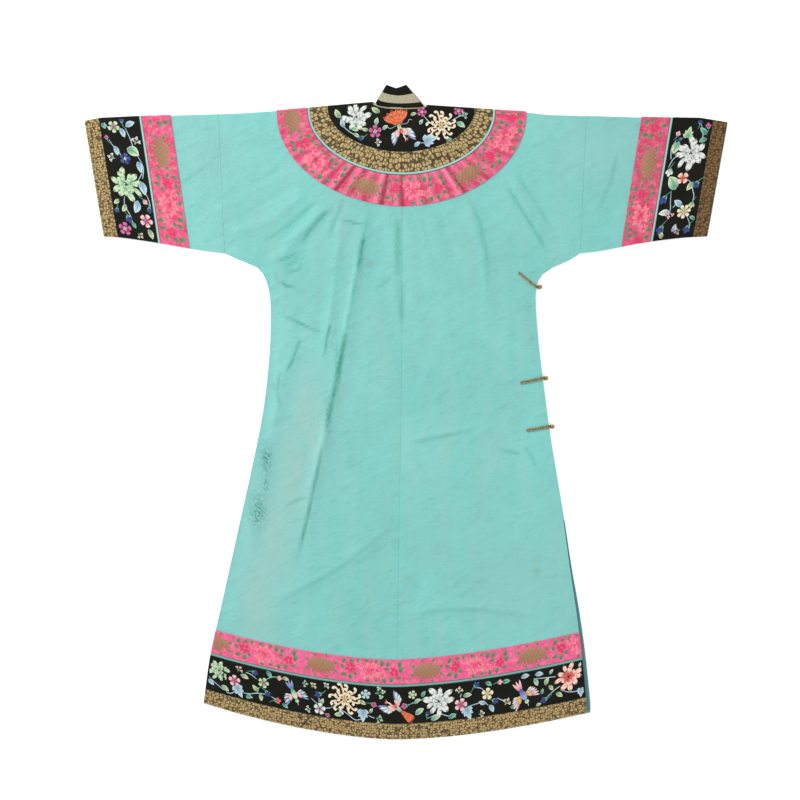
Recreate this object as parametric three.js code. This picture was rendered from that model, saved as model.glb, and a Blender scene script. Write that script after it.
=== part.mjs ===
// A Chinese woman's side-closing robe, laid out flat on its front, so that its back lies uppermost.
// Millimetres, +Z up. The robe is drawn about its centre back seam (x = 0) and its shoulder level (y = 0),
// with the hem towards -Y, and is moved at the end so that the origin is under the middle of its box.
//
// The cloth lies in layers, each a thin wall:
//   trims of the front      on the ground
//   front                   left length's front half, the outer overlap and the sleeves' front halves
//   inner front             right length's front half, under the overlap
//   back                    both lengths' back halves and the sleeves' back halves, with their folds
//   trims of the back       ribbons, pipings and embroidered bands
// Each length of cloth runs from the back hem over the shoulder to the front hem, with no shoulder seam.
import * as THREE from "three";

// ---------------------------------------------------------------- driving sizes
const CLOTH = 1.2; // silk and its lining, sewn as one
const TRIM = 1.0; // a ribbon or an embroidered band
const SEAM = 0.3; // gap between two pieces at a seam or one on another
const COLLAR_THICK = 1.4; // stiffened stand collar

const FRONT_LOW = TRIM + SEAM; // underside of the front walls
const INNER_LOW = FRONT_LOW + CLOTH + SEAM; // underside of the inner front
const BACK_LOW = INNER_LOW + CLOTH + 0.6; // underside of the back walls away from seams and folds
const BACK_MID = BACK_LOW + CLOTH / 2;
const FRONT_MID = FRONT_LOW + CLOTH / 2;
const INNER_MID = INNER_LOW + CLOTH / 2;
const FOLD_Z = (BACK_MID + FRONT_MID) / 2; // height of the line that the shoulder folds turn about
const FOLD_R = (BACK_MID - FRONT_MID) / 2;
const FOLD_TURNS = [45, 0, -45]; // degrees, the steps of a fold between its two flat ends

const HEM_DEPTH = 1135; // hem below the shoulder level at the centre back
const HEM_RISE = { left: 65, right: 47 }; // how much higher the hem is at the sides
const HEM_CURVE = 1.65;
// Half widths of the neckline, and its depths below the shoulder level.
const NECK = { left: 50, right: 41, back: -1.5, front: 72 };
const SEAM_DRIFT = 10; // the centre back seam strays this far to the left at the hem
const WAIST = 560; // above it the rows of cloth lie level, below it they follow the hem
const UNDERARM = 260; // depth at which the sleeve seams end
const SLEEVE_SEAM = { top: 331, bottom: 320 };

// Depth below the shoulder, and how far the back's side edges lie left and right of the centre seam.
// spill is how far the overlap's lining shows past the right edge.
const SIDES = [
  { below: 260, left: 320, right: 320, spill: 0 },
  { below: 273, left: 291, right: 300, spill: 0 },
  { below: 283, left: 265, right: 276, spill: 0 },
  { below: 296, left: 252, right: 254, spill: 0 },
  { below: 314, left: 244, right: 243, spill: 0 },
  { below: 345, left: 238, right: 240, spill: 0 },
  { below: 417, left: 238, right: 245, spill: 0 },
  { below: 471, left: 242, right: 251, spill: 0 },
  { below: 525, left: 248, right: 258, spill: 0 },
  { below: 579, left: 257, right: 265, spill: 0 },
  { below: 660, left: 274, right: 278, spill: 0.4 },
  { below: 741, left: 292, right: 290, spill: 1.6 },
  { below: 822, left: 310, right: 301, spill: 2.8 },
  { below: 903, left: 328, right: 313, spill: 5 },
  { below: 984, left: 346, right: 323, spill: 6.3 },
  { below: 1070, left: 358, right: 331, spill: 7.2 },
];

// Height of the shoulder's edge above the shoulder level, from the left cuff to the right one. It runs
// straight from the neck to the yoke's outer edge.
const SHOULDER = [
  { x: -572, up: -22.5 },
  { x: -544, up: -17 },
  { x: -472, up: -13.5 },
  { x: -292, up: -8 },
  { x: -226.5, up: -3.5 },
  { x: -50, up: 12 },
  { x: 41, up: 6.5 },
  { x: 223, up: -5.5 },
  { x: 262, up: -10 },
  { x: 428, up: -15.3 },
  { x: 536, up: -17 },
  { x: 585, up: -25 },
];

// Lower edge of each sleeve, from its seam to its cuff.
const SLEEVES = {
  left: {
    sign: -1,
    cuff: { top: 572, bottom: 538 },
    under: [
      { x: 320, below: 260 },
      { x: 364, below: 254.5 },
      { x: 436, below: 242 },
      { x: 508, below: 231.5 },
      { x: 538, below: 229.5 },
    ],
  },
  right: {
    sign: 1,
    cuff: { top: 585, bottom: 549 },
    under: [
      { x: 320, below: 260 },
      { x: 356, below: 256 },
      { x: 428, below: 242 },
      { x: 500, below: 232.5 },
      { x: 549, below: 229.5 },
    ],
  },
};

// Upper edge of the overlap: a curve from the centre front below the neck to the right underarm.
const OVERLAP_EDGE = {
  start: { x: SEAM / 2, below: 80 },
  pull1: { x: 150, below: 110 },
  pull2: { x: 228, below: 225 },
  end: { x: 243, below: 314 },
};
const HEM_CORNER = SIDES[SIDES.length - 1].below;

// Bands, from the free edge inwards, with each one's width.
const HEM_BANDS = [
  { name: "gold", width: 28, rows: 1 },
  { name: "black", width: 66, rows: 2 },
  { name: "piping", width: 5, rows: 1 },
  { name: "pink", width: 45, rows: 1 },
];
const CUFF_BANDS = [
  { name: "gold", width: 26, rows: 1 },
  { name: "black", width: 72, rows: 2 },
  { name: "piping", width: 5, rows: 1 },
  { name: "pink", width: 52, rows: 1 },
];
const HEM_STACK = HEM_BANDS.reduce((sum, band) => sum + band.width, 0);
const HEM_WIDER = 0.00012; // the bands are a little wider to the right, per millimetre

// Rings of the yoke about the neck: how far each one's outer edge lies to the left and right of the
// centre seam, and below the shoulder on the back and on the front. raised is added to its thickness on
// the back.
const YOKE_RINGS = [
  { name: "yoke_neckline", left: 51, right: 42, back: -1.2, front: 74 },
  { name: "collar_piping", left: 53.2, right: 44.2, back: 1.2, front: 76.4, raised: 0.8, cells: 1 },
  { name: "yoke_black", left: 134, right: 130, back: 77.5, front: 132, raised: 0, cells: 2 },
  { name: "yoke_gold", left: 166.5, right: 163, back: 114.5, front: 165, raised: 0, cells: 1 },
  { name: "yoke_piping", left: 171.5, right: 168, back: 119.5, front: 170, raised: 0.4, cells: 1 },
  { name: "yoke_pink", left: 226.5, right: 223, back: 175.5, front: 222, raised: 0, cells: 2 },
];

// Folds of the back. Each runs through three places (x, and depth below the shoulder) and fades at its ends;
// rise is its height and half its half width.
const FOLDS = [
  { from: [-52, 190], via: [-106, 440], to: [-193, 820], rise: 7.5, half: 27 },
  { from: [-104, 172], via: [-122, 305], to: [-139, 445], rise: 4.5, half: 24 },
  { from: [-124, 165], via: [-180, 211], to: [-238, 268], rise: 4.5, half: 25 },
  { from: [-153, 138], via: [-240, 186], to: [-335, 218], rise: 3.5, half: 26 },
  { from: [-189, 428], via: [-224, 500], to: [-250, 640], rise: 3.0, half: 26 },
  { from: [-12, 190], via: [-12, 300], to: [-6, 420], rise: 3.0, half: 24 },
  { from: [104, 160], via: [136, 250], to: [150, 390], rise: 4.5, half: 26 },
  { from: [190, 112], via: [228, 184], to: [262, 236], rise: 4.5, half: 25 },
  { from: [300, 118], via: [352, 172], to: [400, 216], rise: 3.0, half: 26 },
  { from: [8, 606], via: [86, 588], to: [160, 576], rise: 3.0, half: 24 },
  { from: [-214, 862], via: [-103, 818], to: [-6, 756], rise: 3.5, half: 28 },
  { from: [-8, 916], via: [122, 900], to: [268, 922], rise: 3.5, half: 28 },
];
const FLAT_MARGIN = 24; // the back lies flat under the yoke and this far round it
const FLAT_FADE = 45; // and its folds reach their height over this distance

// Puckers across the yoke's pink ribbon: their height, and where they cross it, as a count of the yoke's
// steps from the left shoulder round under the neck to the right shoulder.
const PUCKERS = [
  { step: 6, rise: 1.1 },
  { step: 9, rise: 1.7 },
  { step: 11, rise: 1.2 },
  { step: 14, rise: 1.8 },
  { step: 16, rise: 1.4 },
  { step: 20, rise: 1.8 },
  { step: 24, rise: 1.0 },
];

// Stand collar: the plan of its upper edge on the back, and how deep that edge lies on the front.
const COLLAR = {
  inset: 3.4, // its base stands this far inside the neckline at the sides
  gap: 0.8, // and this far above the neckline elsewhere
  topLeft: -27,
  topRight: 5,
  top: 43,
  dip: 5.5, // the upper edge sags between its two peaks
  frontTop: 30, // depth of the upper edge at the centre front
  slit: 0.8, // width of its opening at the centre front
};
const COLLAR_ROWS = [0, 0.2, 0.6, 1]; // the cream ribbon covers the middle one

// Loop-and-ball closures down the right side: depth, and the strap's slope over its length.
const CLOSURES = [
  { name: "closure_1", below: 321, slope: -0.72 },
  { name: "closure_2", below: 485, slope: 0.21 },
  { name: "closure_3", below: 572, slope: 0.18 },
];
const STRAP = { length: 30, cord: 1.0, pitch: 2.3, sides: 6, steps: 34 };
const BALL = { radius: 3.8, out: 6.4, shank: 1.0, shankLow: FRONT_LOW, low: 4.6 };
const STAY = { length: 40, width: 5 };

// ---------------------------------------------------------------- colours
const COLOURS = {
  silk: [0.43, 0.78, 0.72],
  lining: [0.2, 0.35, 0.38],
  pink: [0.86, 0.2, 0.36],
  black: [0.03, 0.027, 0.027],
  gold: [0.42, 0.32, 0.15],
  piping: [0.45, 0.75, 0.7],
  cream: [0.56, 0.52, 0.38],
  cord: [0.3, 0.27, 0.15],
  brass: [0.65, 0.48, 0.24],
};

const robe = new THREE.Group();

function add(name, geometry, colour, roughness = 0.7, metalness = 0) {
  const material = new THREE.MeshStandardMaterial({ roughness, metalness });
  material.color.setRGB(...COLOURS[colour]);
  const mesh = new THREE.Mesh(geometry, material);
  mesh.name = name;
  robe.add(mesh);
}

// ---------------------------------------------------------------- curves and tables
const lerp = THREE.MathUtils.lerp;
const radians = THREE.MathUtils.degToRad;
const fade = (value, from, to) => THREE.MathUtils.smoothstep(value, from, to);

// Reads a column of a table at a place between its rows, along a smooth curve through them.
function read(table, key, column, at) {
  const last = table.length - 1;
  let k = 0;
  while (k < last - 1 && table[k + 1][key] < at) k += 1;
  const slope = (a, b) => (table[b][column] - table[a][column]) / (table[b][key] - table[a][key]);
  const span = table[k + 1][key] - table[k][key];
  const here = slope(Math.max(k - 1, 0), k + 1);
  const next = slope(k, Math.min(k + 2, last));
  const t = THREE.MathUtils.clamp((at - table[k][key]) / span, 0, 1);
  const t2 = t * t;
  const t3 = t2 * t;
  return (
    (2 * t3 - 3 * t2 + 1) * table[k][column] +
    (t3 - 2 * t2 + t) * span * here +
    (3 * t2 - 2 * t3) * table[k + 1][column] +
    (t3 - t2) * span * next
  );
}

// Height of the line that the shoulder folds turn about.
function shoulder(x) {
  const next = Math.max(1, SHOULDER.findIndex((row) => row.x >= x));
  const [a, b] = [SHOULDER[next - 1], SHOULDER[next]];
  return lerp(a.up, b.up, (x - a.x) / (b.x - a.x)) - FOLD_R - CLOTH / 2;
}
const sideEdge = (side, below) => read(SIDES, "below", side, below);

// Depth of the hem, or of a line a given distance above it, at x.
function hemBelow(x, above = 0) {
  const side = x < 0 ? "left" : "right";
  const share = Math.min(1, Math.abs(x) / sideEdge(side, HEM_CORNER));
  return HEM_DEPTH - HEM_RISE[side] * share ** HEM_CURVE - above * (1 + HEM_WIDER * x);
}

// ---------------------------------------------------------------- the back's form
// Distance from a point to a fold's path, and how far along it the nearest place is, from 0 to 1.
function nearFold(fold, x, below) {
  const stops = [fold.from, fold.via, fold.to];
  let best = { away: Infinity, along: 0 };
  for (let k = 0; k < 2; k += 1) {
    const [ax, ay] = stops[k];
    const [bx, by] = stops[k + 1];
    const length2 = (bx - ax) ** 2 + (by - ay) ** 2;
    const t = THREE.MathUtils.clamp(((x - ax) * (bx - ax) + (below - ay) * (by - ay)) / length2, 0, 1);
    const away = Math.hypot(x - lerp(ax, bx, t), below - lerp(ay, by, t));
    if (away < best.away) best = { away, along: (k + t) / 2 };
  }
  return best;
}

// How far outside the yoke a point lies, about.
function outsideYoke(x, below) {
  const rim = YOKE_RINGS[YOKE_RINGS.length - 1];
  const wide = x < 0 ? rim.left : rim.right;
  const size = Math.hypot(x / wide, Math.max(below, 0) / rim.back);
  return (size - 1) * Math.min(wide, rim.back);
}

// How much the folds lift the back at a point.
function lift(x, below) {
  let height = 0;
  for (const fold of FOLDS) {
    const { away, along } = nearFold(fold, x, below);
    if (away >= fold.half) continue;
    const ends = fade(along, 0, 0.2) * (1 - fade(along, 0.75, 1));
    height = Math.max(height, fold.rise * ends * Math.cos((Math.PI * away) / (2 * fold.half)) ** 2);
  }
  const clear = outsideYoke(x, below) - FLAT_MARGIN;
  return height * fade(clear, 0, FLAT_FADE);
}

// ---------------------------------------------------------------- walls from grids of points
// grid[i][j] are points of the middle of a wall, and i crossed with j points out of it. The wall reaches
// from inner to outer along the normals. keep(i, j) says whether a cell is cloth, and more(i, j) thickens it.
function wall(grid, inner, outer, { keep = () => true, more = () => 0 } = {}) {
  const columns = grid.length;
  const rows = grid[0].length;
  const point = (i, j) => grid[THREE.MathUtils.clamp(i, 0, columns - 1)][THREE.MathUtils.clamp(j, 0, rows - 1)];
  const positions = [];
  for (const outside of [true, false]) {
    for (let i = 0; i < columns; i += 1) {
      for (let j = 0; j < rows; j += 1) {
        const across = point(i + 1, j).clone().sub(point(i - 1, j));
        const along = point(i, j + 1).clone().sub(point(i, j - 1));
        const normal = across.cross(along).normalize();
        const reach = outside ? outer + more(i, j) : inner;
        positions.push(...point(i, j).clone().addScaledVector(normal, reach).toArray());
      }
    }
  }
  const index = (side, i, j) => side * columns * rows + i * rows + j;
  const kept = (i, j) => i >= 0 && j >= 0 && i < columns - 1 && j < rows - 1 && keep(i, j);
  const faces = [];
  const quad = (a, b, c, d) => faces.push(a, b, c, a, c, d);
  for (let i = 0; i < columns - 1; i += 1) {
    for (let j = 0; j < rows - 1; j += 1) {
      if (!kept(i, j)) continue;
      quad(index(0, i, j), index(0, i + 1, j), index(0, i + 1, j + 1), index(0, i, j + 1));
      quad(index(1, i, j + 1), index(1, i + 1, j + 1), index(1, i + 1, j), index(1, i, j));
      if (!kept(i, j - 1)) quad(index(1, i, j), index(1, i + 1, j), index(0, i + 1, j), index(0, i, j));
      if (!kept(i, j + 1)) {
        quad(index(0, i, j + 1), index(0, i + 1, j + 1), index(1, i + 1, j + 1), index(1, i, j + 1));
      }
      if (!kept(i - 1, j)) quad(index(0, i, j), index(0, i, j + 1), index(1, i, j + 1), index(1, i, j));
      if (!kept(i + 1, j)) {
        quad(index(1, i + 1, j), index(1, i + 1, j + 1), index(0, i + 1, j + 1), index(0, i + 1, j));
      }
    }
  }
  return new THREE.BufferGeometry()
    .setAttribute("position", new THREE.Float32BufferAttribute(positions, 3))
    .setIndex(faces);
}

// The same grid drawn in by half a seam at its first and last lines, by columns or by rows.
function drawnIn(grid, byRows) {
  const moved = grid.map((column) => column.map((p) => p.clone()));
  const nudge = (p, towards) => p.addScaledVector(towards.clone().sub(p).normalize(), SEAM / 2);
  const lastI = grid.length - 1;
  const lastJ = grid[0].length - 1;
  if (byRows) {
    moved.forEach((column, i) => {
      nudge(column[0], grid[i][1]);
      nudge(column[lastJ], grid[i][lastJ - 1]);
    });
  } else {
    moved[0].forEach((p, j) => nudge(p, grid[1][j]));
    moved[lastI].forEach((p, j) => nudge(p, grid[lastI - 1][j]));
  }
  return moved;
}

// A band that lies on the outside of a wall, made from the wall's own points.
const trim = (grid, byRows) => wall(drawnIn(grid, byRows), CLOTH / 2 + SEAM, CLOTH / 2 + SEAM + TRIM);

// ---------------------------------------------------------------- the two lengths of cloth
const SKIRT_ROWS = 10;
const YOKE_ROWS = 7;

// Rows from the back hem up to the shoulder: a height above the hem, a share of the way from the waist to
// the hem bands, a depth below the shoulder, or a share of the way from the underarm to the shoulder.
function backRows() {
  const rows = [];
  let above = 0;
  rows.push({ above });
  for (const band of HEM_BANDS) {
    for (let k = 1; k <= band.rows; k += 1) rows.push({ above: above + (band.width * k) / band.rows });
    above += band.width;
  }
  for (let k = 1; k <= SKIRT_ROWS; k += 1) rows.push({ hemShare: 1 - k / SKIRT_ROWS });
  for (const below of [522, 484, 446, 408, 370, 334, 310, 296, 284, 273, UNDERARM]) rows.push({ below });
  for (let k = 1; k <= YOKE_ROWS; k += 1) rows.push({ topShare: k / YOKE_ROWS });
  return rows;
}

// Rows of the front below the shoulder fold, down to the hem. The front lies level, so it needs few.
function frontRows() {
  const rows = [];
  for (let k = 2; k >= 0; k -= 1) rows.push({ topShare: k / 3, front: true });
  for (const below of [273, 284, 296, 312, 334, 430, WAIST]) rows.push({ below });
  for (const hemShare of [0.5, 1]) rows.push({ hemShare });
  rows.push({ above: 0 });
  return rows;
}

// Height of the top of the cloth at x: the shoulder fold, or the neckline between its two ends.
function topOf(side, x, front) {
  const half = NECK[side];
  const atNeck = shoulder(side === "left" ? -half : half);
  if (Math.abs(x) >= half) return shoulder(x);
  return lerp(atNeck, front ? -NECK.front : -NECK.back, Math.sqrt(1 - (x / half) ** 2));
}

function rowAt(row, side, x) {
  if (row.above !== undefined) return -hemBelow(x, row.above);
  if (row.hemShare !== undefined) return -lerp(WAIST, hemBelow(x, HEM_STACK), row.hemShare);
  if (row.below !== undefined) return -row.below;
  return lerp(-UNDERARM, topOf(side, x, row.front), row.topShare);
}

// How far from the centre seam a row of cloth reaches.
function rowReach(row, side) {
  if (row.topShare !== undefined) return lerp(SLEEVE_SEAM.bottom, SLEEVE_SEAM.top, row.topShare) - SEAM / 2;
  const sign = side === "left" ? -1 : 1;
  let reach = sideEdge(side, HEM_CORNER);
  for (let k = 0; k < 3; k += 1) reach = sideEdge(side, -rowAt(row, side, sign * reach));
  return reach;
}

const seamStray = (below) => SEAM_DRIFT * fade(below, UNDERARM, HEM_DEPTH);

const NECK_COLUMNS = 4;
const SIDE_COLUMNS = 11;

// How far the back sinks to meet the layer under it at its side seams, and how far in from them.
const EDGE_FALL = { left: BACK_LOW - FRONT_LOW - CLOTH - SEAM, right: BACK_LOW - INNER_LOW - CLOTH - SEAM };
const EDGE_WIDTH = 30;
const sunk = (fall, inward, above) => fall * (1 - fade(inward, 0, EDGE_WIDTH)) * (1 - fade(above, 0, EDGE_WIDTH));

function lengthGrid(side) {
  const sign = side === "left" ? -1 : 1;
  const half = NECK[side];
  const foldMid = side === "left" ? FRONT_MID : INNER_MID; // the right length's front lies under the overlap
  const foldZ = (BACK_MID + foldMid) / 2;
  const foldR = (BACK_MID - foldMid) / 2;
  const rows = [
    ...backRows().map((row) => ({ ...row, layer: "back" })),
    ...FOLD_TURNS.map((turn) => ({ topShare: 1, turn, layer: "fold" })),
    { topShare: 1, front: true, layer: "front" },
    ...frontRows().map((row) => ({ ...row, layer: "front" })),
  ];
  const columns = [];
  for (let k = 0; k <= SIDE_COLUMNS; k += 1) columns.push({ out: 1 - k / SIDE_COLUMNS });
  for (let k = 1; k <= NECK_COLUMNS; k += 1) {
    columns.push({ in: half * Math.cos((Math.PI / 2) * (k / NECK_COLUMNS)) });
  }
  if (sign > 0) columns.reverse();
  const grid = columns.map((column) =>
    rows.map((row) => {
      const reach = rowReach(row, side);
      const away = column.out === undefined ? Math.max(column.in, SEAM / 2) : lerp(half, reach, column.out);
      const drawn = sign * away;
      const y = rowAt(row, side, drawn);
      const x = drawn - (row.layer === "back" ? seamStray(-y) * (1 - away / reach) : 0);
      if (row.layer === "front") return new THREE.Vector3(x, y, foldMid);
      if (row.layer === "fold") {
        const turn = radians(row.turn);
        return new THREE.Vector3(x, y + foldR * Math.cos(turn), foldZ + foldR * Math.sin(turn));
      }
      const sink = sunk(EDGE_FALL[side], reach - away, UNDERARM + y);
      return new THREE.Vector3(x, y, BACK_MID - sink + lift(x, -y));
    }),
  );
  const backCount = backRows().length;
  const neckFirst = sign < 0 ? SIDE_COLUMNS : 0;
  const keep = (i, j) => {
    const inNeck = i >= neckFirst && i < neckFirst + NECK_COLUMNS;
    return !(inNeck && j >= backCount - 1 && j < backCount + FOLD_TURNS.length);
  };
  return { grid, keep };
}

const lengths = { left: lengthGrid("left"), right: lengthGrid("right") };
for (const side of ["left", "right"]) {
  const { grid, keep } = lengths[side];
  add(`body_${side}`, wall(grid, -CLOTH / 2, CLOTH / 2, { keep }), "silk");
}

// ---------------------------------------------------------------- hem bands
// The back's bands lie on both lengths and cross the centre seam.
function hemBandsOfBack() {
  let first = 0;
  for (const band of HEM_BANDS) {
    const both = [...lengths.left.grid, ...lengths.right.grid];
    const strip = both.map((column) => column.slice(first, first + band.rows + 1));
    add(`hem_back_${band.name}`, trim(strip, true), band.name);
    first += band.rows;
  }
}

// The front's bands lie on the ground, under the left length's front and the overlap.
function hemBandsOfFront() {
  const steps = 14;
  const left = -sideEdge("left", HEM_CORNER);
  let above = 0;
  for (const band of HEM_BANDS) {
    const strip = [];
    for (let k = 0; k <= steps; k += 1) {
      const line = [above + band.width, above].map((height) => {
        const rightEdge = overlapEdge(hemBelow(-left, height));
        const leftEdge = -sideEdge("left", hemBelow(left, height));
        const x = lerp(leftEdge, rightEdge, k / steps);
        return new THREE.Vector3(x, -hemBelow(x, height), TRIM / 2);
      });
      strip.push(line);
    }
    add(`hem_front_${band.name}`, wall(drawnIn(strip, true), -TRIM / 2, TRIM / 2), band.name);
    above += band.width;
  }
}

const overlapEdge = (below) => sideEdge("right", below) + read(SIDES, "below", "spill", below);

// ---------------------------------------------------------------- the overlap and its lining
function overlap() {
  const { start, pull1, pull2, end } = OVERLAP_EDGE;
  const corner = overlapEdge(HEM_CORNER);
  const hemSteps = 10;
  const outline = new THREE.Shape();
  outline.moveTo(start.x, -start.below);
  for (let k = 0; k <= hemSteps; k += 1) {
    const x = lerp(start.x, corner, k / hemSteps);
    outline.lineTo(x, -hemBelow(x));
  }
  for (const { below } of [...SIDES].reverse()) {
    if (below > end.below && below < HEM_CORNER) outline.lineTo(overlapEdge(below), -below);
  }
  outline.lineTo(end.x, -end.below);
  outline.bezierCurveTo(pull2.x, -pull2.below, pull1.x, -pull1.below, start.x, -start.below);
  const geometry = new THREE.ExtrudeGeometry(outline, { depth: CLOTH, bevelEnabled: false, curveSegments: 10 });
  geometry.translate(0, 0, FRONT_LOW);
  add("front_overlap", geometry, "silk");
}

// The overlap's lining shows as a narrow strip past the right edge of the back.
function liningStrip() {
  const depths = [1076, 984, 903, 822, 741];
  const line = (reach) => depths.map((below) => new THREE.Vector3(reach(below), -below, INNER_LOW + TRIM / 2));
  const strip = [line((below) => sideEdge("right", below) + 2 * SEAM), line(overlapEdge)];
  add("front_lining", wall(strip, -TRIM / 2, TRIM / 2), "lining");
}

// ---------------------------------------------------------------- sleeves and cuffs
const SLEEVE_ROWS = 8;
const SLEEVE_BODY_COLUMNS = 4;

// Columns run along the sleeve from the cuff to its seam, and each runs from the underarm up the back, over
// the shoulder fold and down the front.
function sleeveGrid(side) {
  const { sign, cuff, under } = SLEEVES[side];
  const bandLines = [0];
  for (const band of CUFF_BANDS) {
    const start = bandLines[bandLines.length - 1];
    for (let k = 1; k <= band.rows; k += 1) bandLines.push(start + (band.width * k) / band.rows);
  }
  const stack = bandLines[bandLines.length - 1];
  const stations = bandLines.map((d) => ({ top: cuff.top - d, bottom: cuff.bottom - d }));
  for (let k = 1; k <= SLEEVE_BODY_COLUMNS; k += 1) {
    const share = k / SLEEVE_BODY_COLUMNS;
    stations.push({
      top: lerp(cuff.top - stack, SLEEVE_SEAM.top + SEAM / 2, share),
      bottom: lerp(cuff.bottom - stack, SLEEVE_SEAM.bottom + SEAM / 2, share),
    });
  }
  return stations.map(({ top, bottom }) => {
    const topX = sign * top;
    const bottomX = sign * bottom;
    const topY = shoulder(topX);
    const bottomY = -read(under, "x", "below", bottom);
    const atSeam = (cuff.bottom - bottom) / (cuff.bottom - SLEEVE_SEAM.bottom);
    const fall = lerp(EDGE_FALL.left, EDGE_FALL[side], fade(atSeam, 0.5, 1));
    const column = [];
    for (let j = 0; j <= SLEEVE_ROWS; j += 1) {
      const share = j / SLEEVE_ROWS;
      const x = lerp(bottomX, topX, share);
      const y = lerp(bottomY, topY, share);
      const z = BACK_MID - sunk(fall, y - bottomY, 0) + lift(x, -y);
      column.push(new THREE.Vector3(x, y, z));
    }
    for (const turn of FOLD_TURNS) {
      const angle = radians(turn);
      column.push(new THREE.Vector3(topX, topY + FOLD_R * Math.cos(angle), FOLD_Z + FOLD_R * Math.sin(angle)));
    }
    for (const share of [1, 0.5, 0]) {
      column.push(new THREE.Vector3(lerp(bottomX, topX, share), lerp(bottomY, topY, share), FRONT_MID));
    }
    return column;
  });
}

function sleeve(side) {
  const fromCuff = sleeveGrid(side);
  const facingOut = (grid) => (side === "left" ? grid : [...grid].reverse());
  add(`sleeve_${side}`, wall(facingOut(fromCuff), -CLOTH / 2, CLOTH / 2), "silk");
  let first = 0;
  for (const band of CUFF_BANDS) {
    const strip = fromCuff.slice(first, first + band.rows + 1);
    add(`cuff_${side}_${band.name}`, trim(facingOut(strip), false), band.name);
    first += band.rows;
  }
}

// ---------------------------------------------------------------- yoke
const YOKE_BACK_STEPS = 30;
const YOKE_FRONT_STEPS = 12;

// A place on a ring of the yoke: turn runs from 0 at the left shoulder to 180 at the right one.
function ringPlan(ring, turn, depth) {
  const across = -Math.cos(radians(turn));
  const x = across * (across < 0 ? ring.left : ring.right);
  return new THREE.Vector2(x, lerp(shoulder(x), -ring[depth], Math.sin(radians(turn))));
}

function yokeRing(inside, ring) {
  const low = CLOTH / 2 + SEAM;
  const part = (share) => ({
    left: lerp(ring.left - SEAM / 2, inside.left + SEAM / 2, share),
    right: lerp(ring.right - SEAM / 2, inside.right + SEAM / 2, share),
    back: lerp(ring.back - SEAM / 2, inside.back + SEAM / 2, share),
    front: lerp(ring.front - SEAM / 2, inside.front + SEAM / 2, share),
  });
  const lines = [];
  for (let j = 0; j <= ring.cells; j += 1) lines.push(part(j / ring.cells));
  const grid = [];
  const flat = (turn, depth, z) =>
    lines.map((line) => {
      const plan = ringPlan(line, turn, depth);
      return new THREE.Vector3(plan.x, plan.y, z);
    });
  const folded = (sign, turn) =>
    lines.map((line) => {
      const x = sign < 0 ? -line.left : line.right;
      const angle = radians(turn);
      return new THREE.Vector3(x, shoulder(x) + FOLD_R * Math.cos(angle), FOLD_Z + FOLD_R * Math.sin(angle));
    });
  for (let k = 0; k <= YOKE_BACK_STEPS; k += 1) grid.push(flat((180 * k) / YOKE_BACK_STEPS, "back", BACK_MID));
  for (const turn of FOLD_TURNS) grid.push(folded(1, turn));
  for (let k = YOKE_FRONT_STEPS; k >= 0; k -= 1) {
    grid.push(flat((180 * k) / YOKE_FRONT_STEPS, "front", FRONT_MID));
  }
  for (const turn of [...FOLD_TURNS].reverse()) grid.push(folded(-1, turn));
  grid.push(flat(0, "back", BACK_MID));
  const more = (i) => {
    if (i === 0 || i >= YOKE_BACK_STEPS) return 0;
    const pucker = PUCKERS.find(({ step }) => step === i);
    return ring.raised + (ring.name === "yoke_pink" && pucker ? pucker.rise : 0);
  };
  return wallRing(grid, low, low + TRIM, more);
}

// A wall whose first and last columns are the same place, sewn into a ring.
function wallRing(grid, inner, outer, more) {
  const around = grid.length - 1;
  const wrapped = [grid[around - 1], ...grid, grid[1]];
  const geometry = wall(wrapped, inner, outer, {
    keep: (i) => i >= 1 && i <= around,
    more: (i, j) => more((i - 1 + around) % around, j),
  });
  // The walls across the ring at its first and last columns face each other, and are taken out.
  const rows = grid[0].length;
  const side = wrapped.length * rows;
  const columnOf = (index) => Math.floor((index % side) / rows);
  const faces = geometry.index.array;
  const kept = [];
  for (let f = 0; f < faces.length; f += 3) {
    const face = [faces[f], faces[f + 1], faces[f + 2]];
    const columns = face.map(columnOf);
    const across = columns.every((c) => c === columns[0]) && (columns[0] === 1 || columns[0] === around + 1);
    if (!across) kept.push(...face.map((v) => (columnOf(v) === around + 1 ? v - around * rows : v)));
  }
  geometry.setIndex(kept);
  return geometry;
}

const RING_COLOURS = {
  collar_piping: "gold",
  yoke_black: "black",
  yoke_gold: "gold",
  yoke_piping: "piping",
  yoke_pink: "pink",
};

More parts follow.
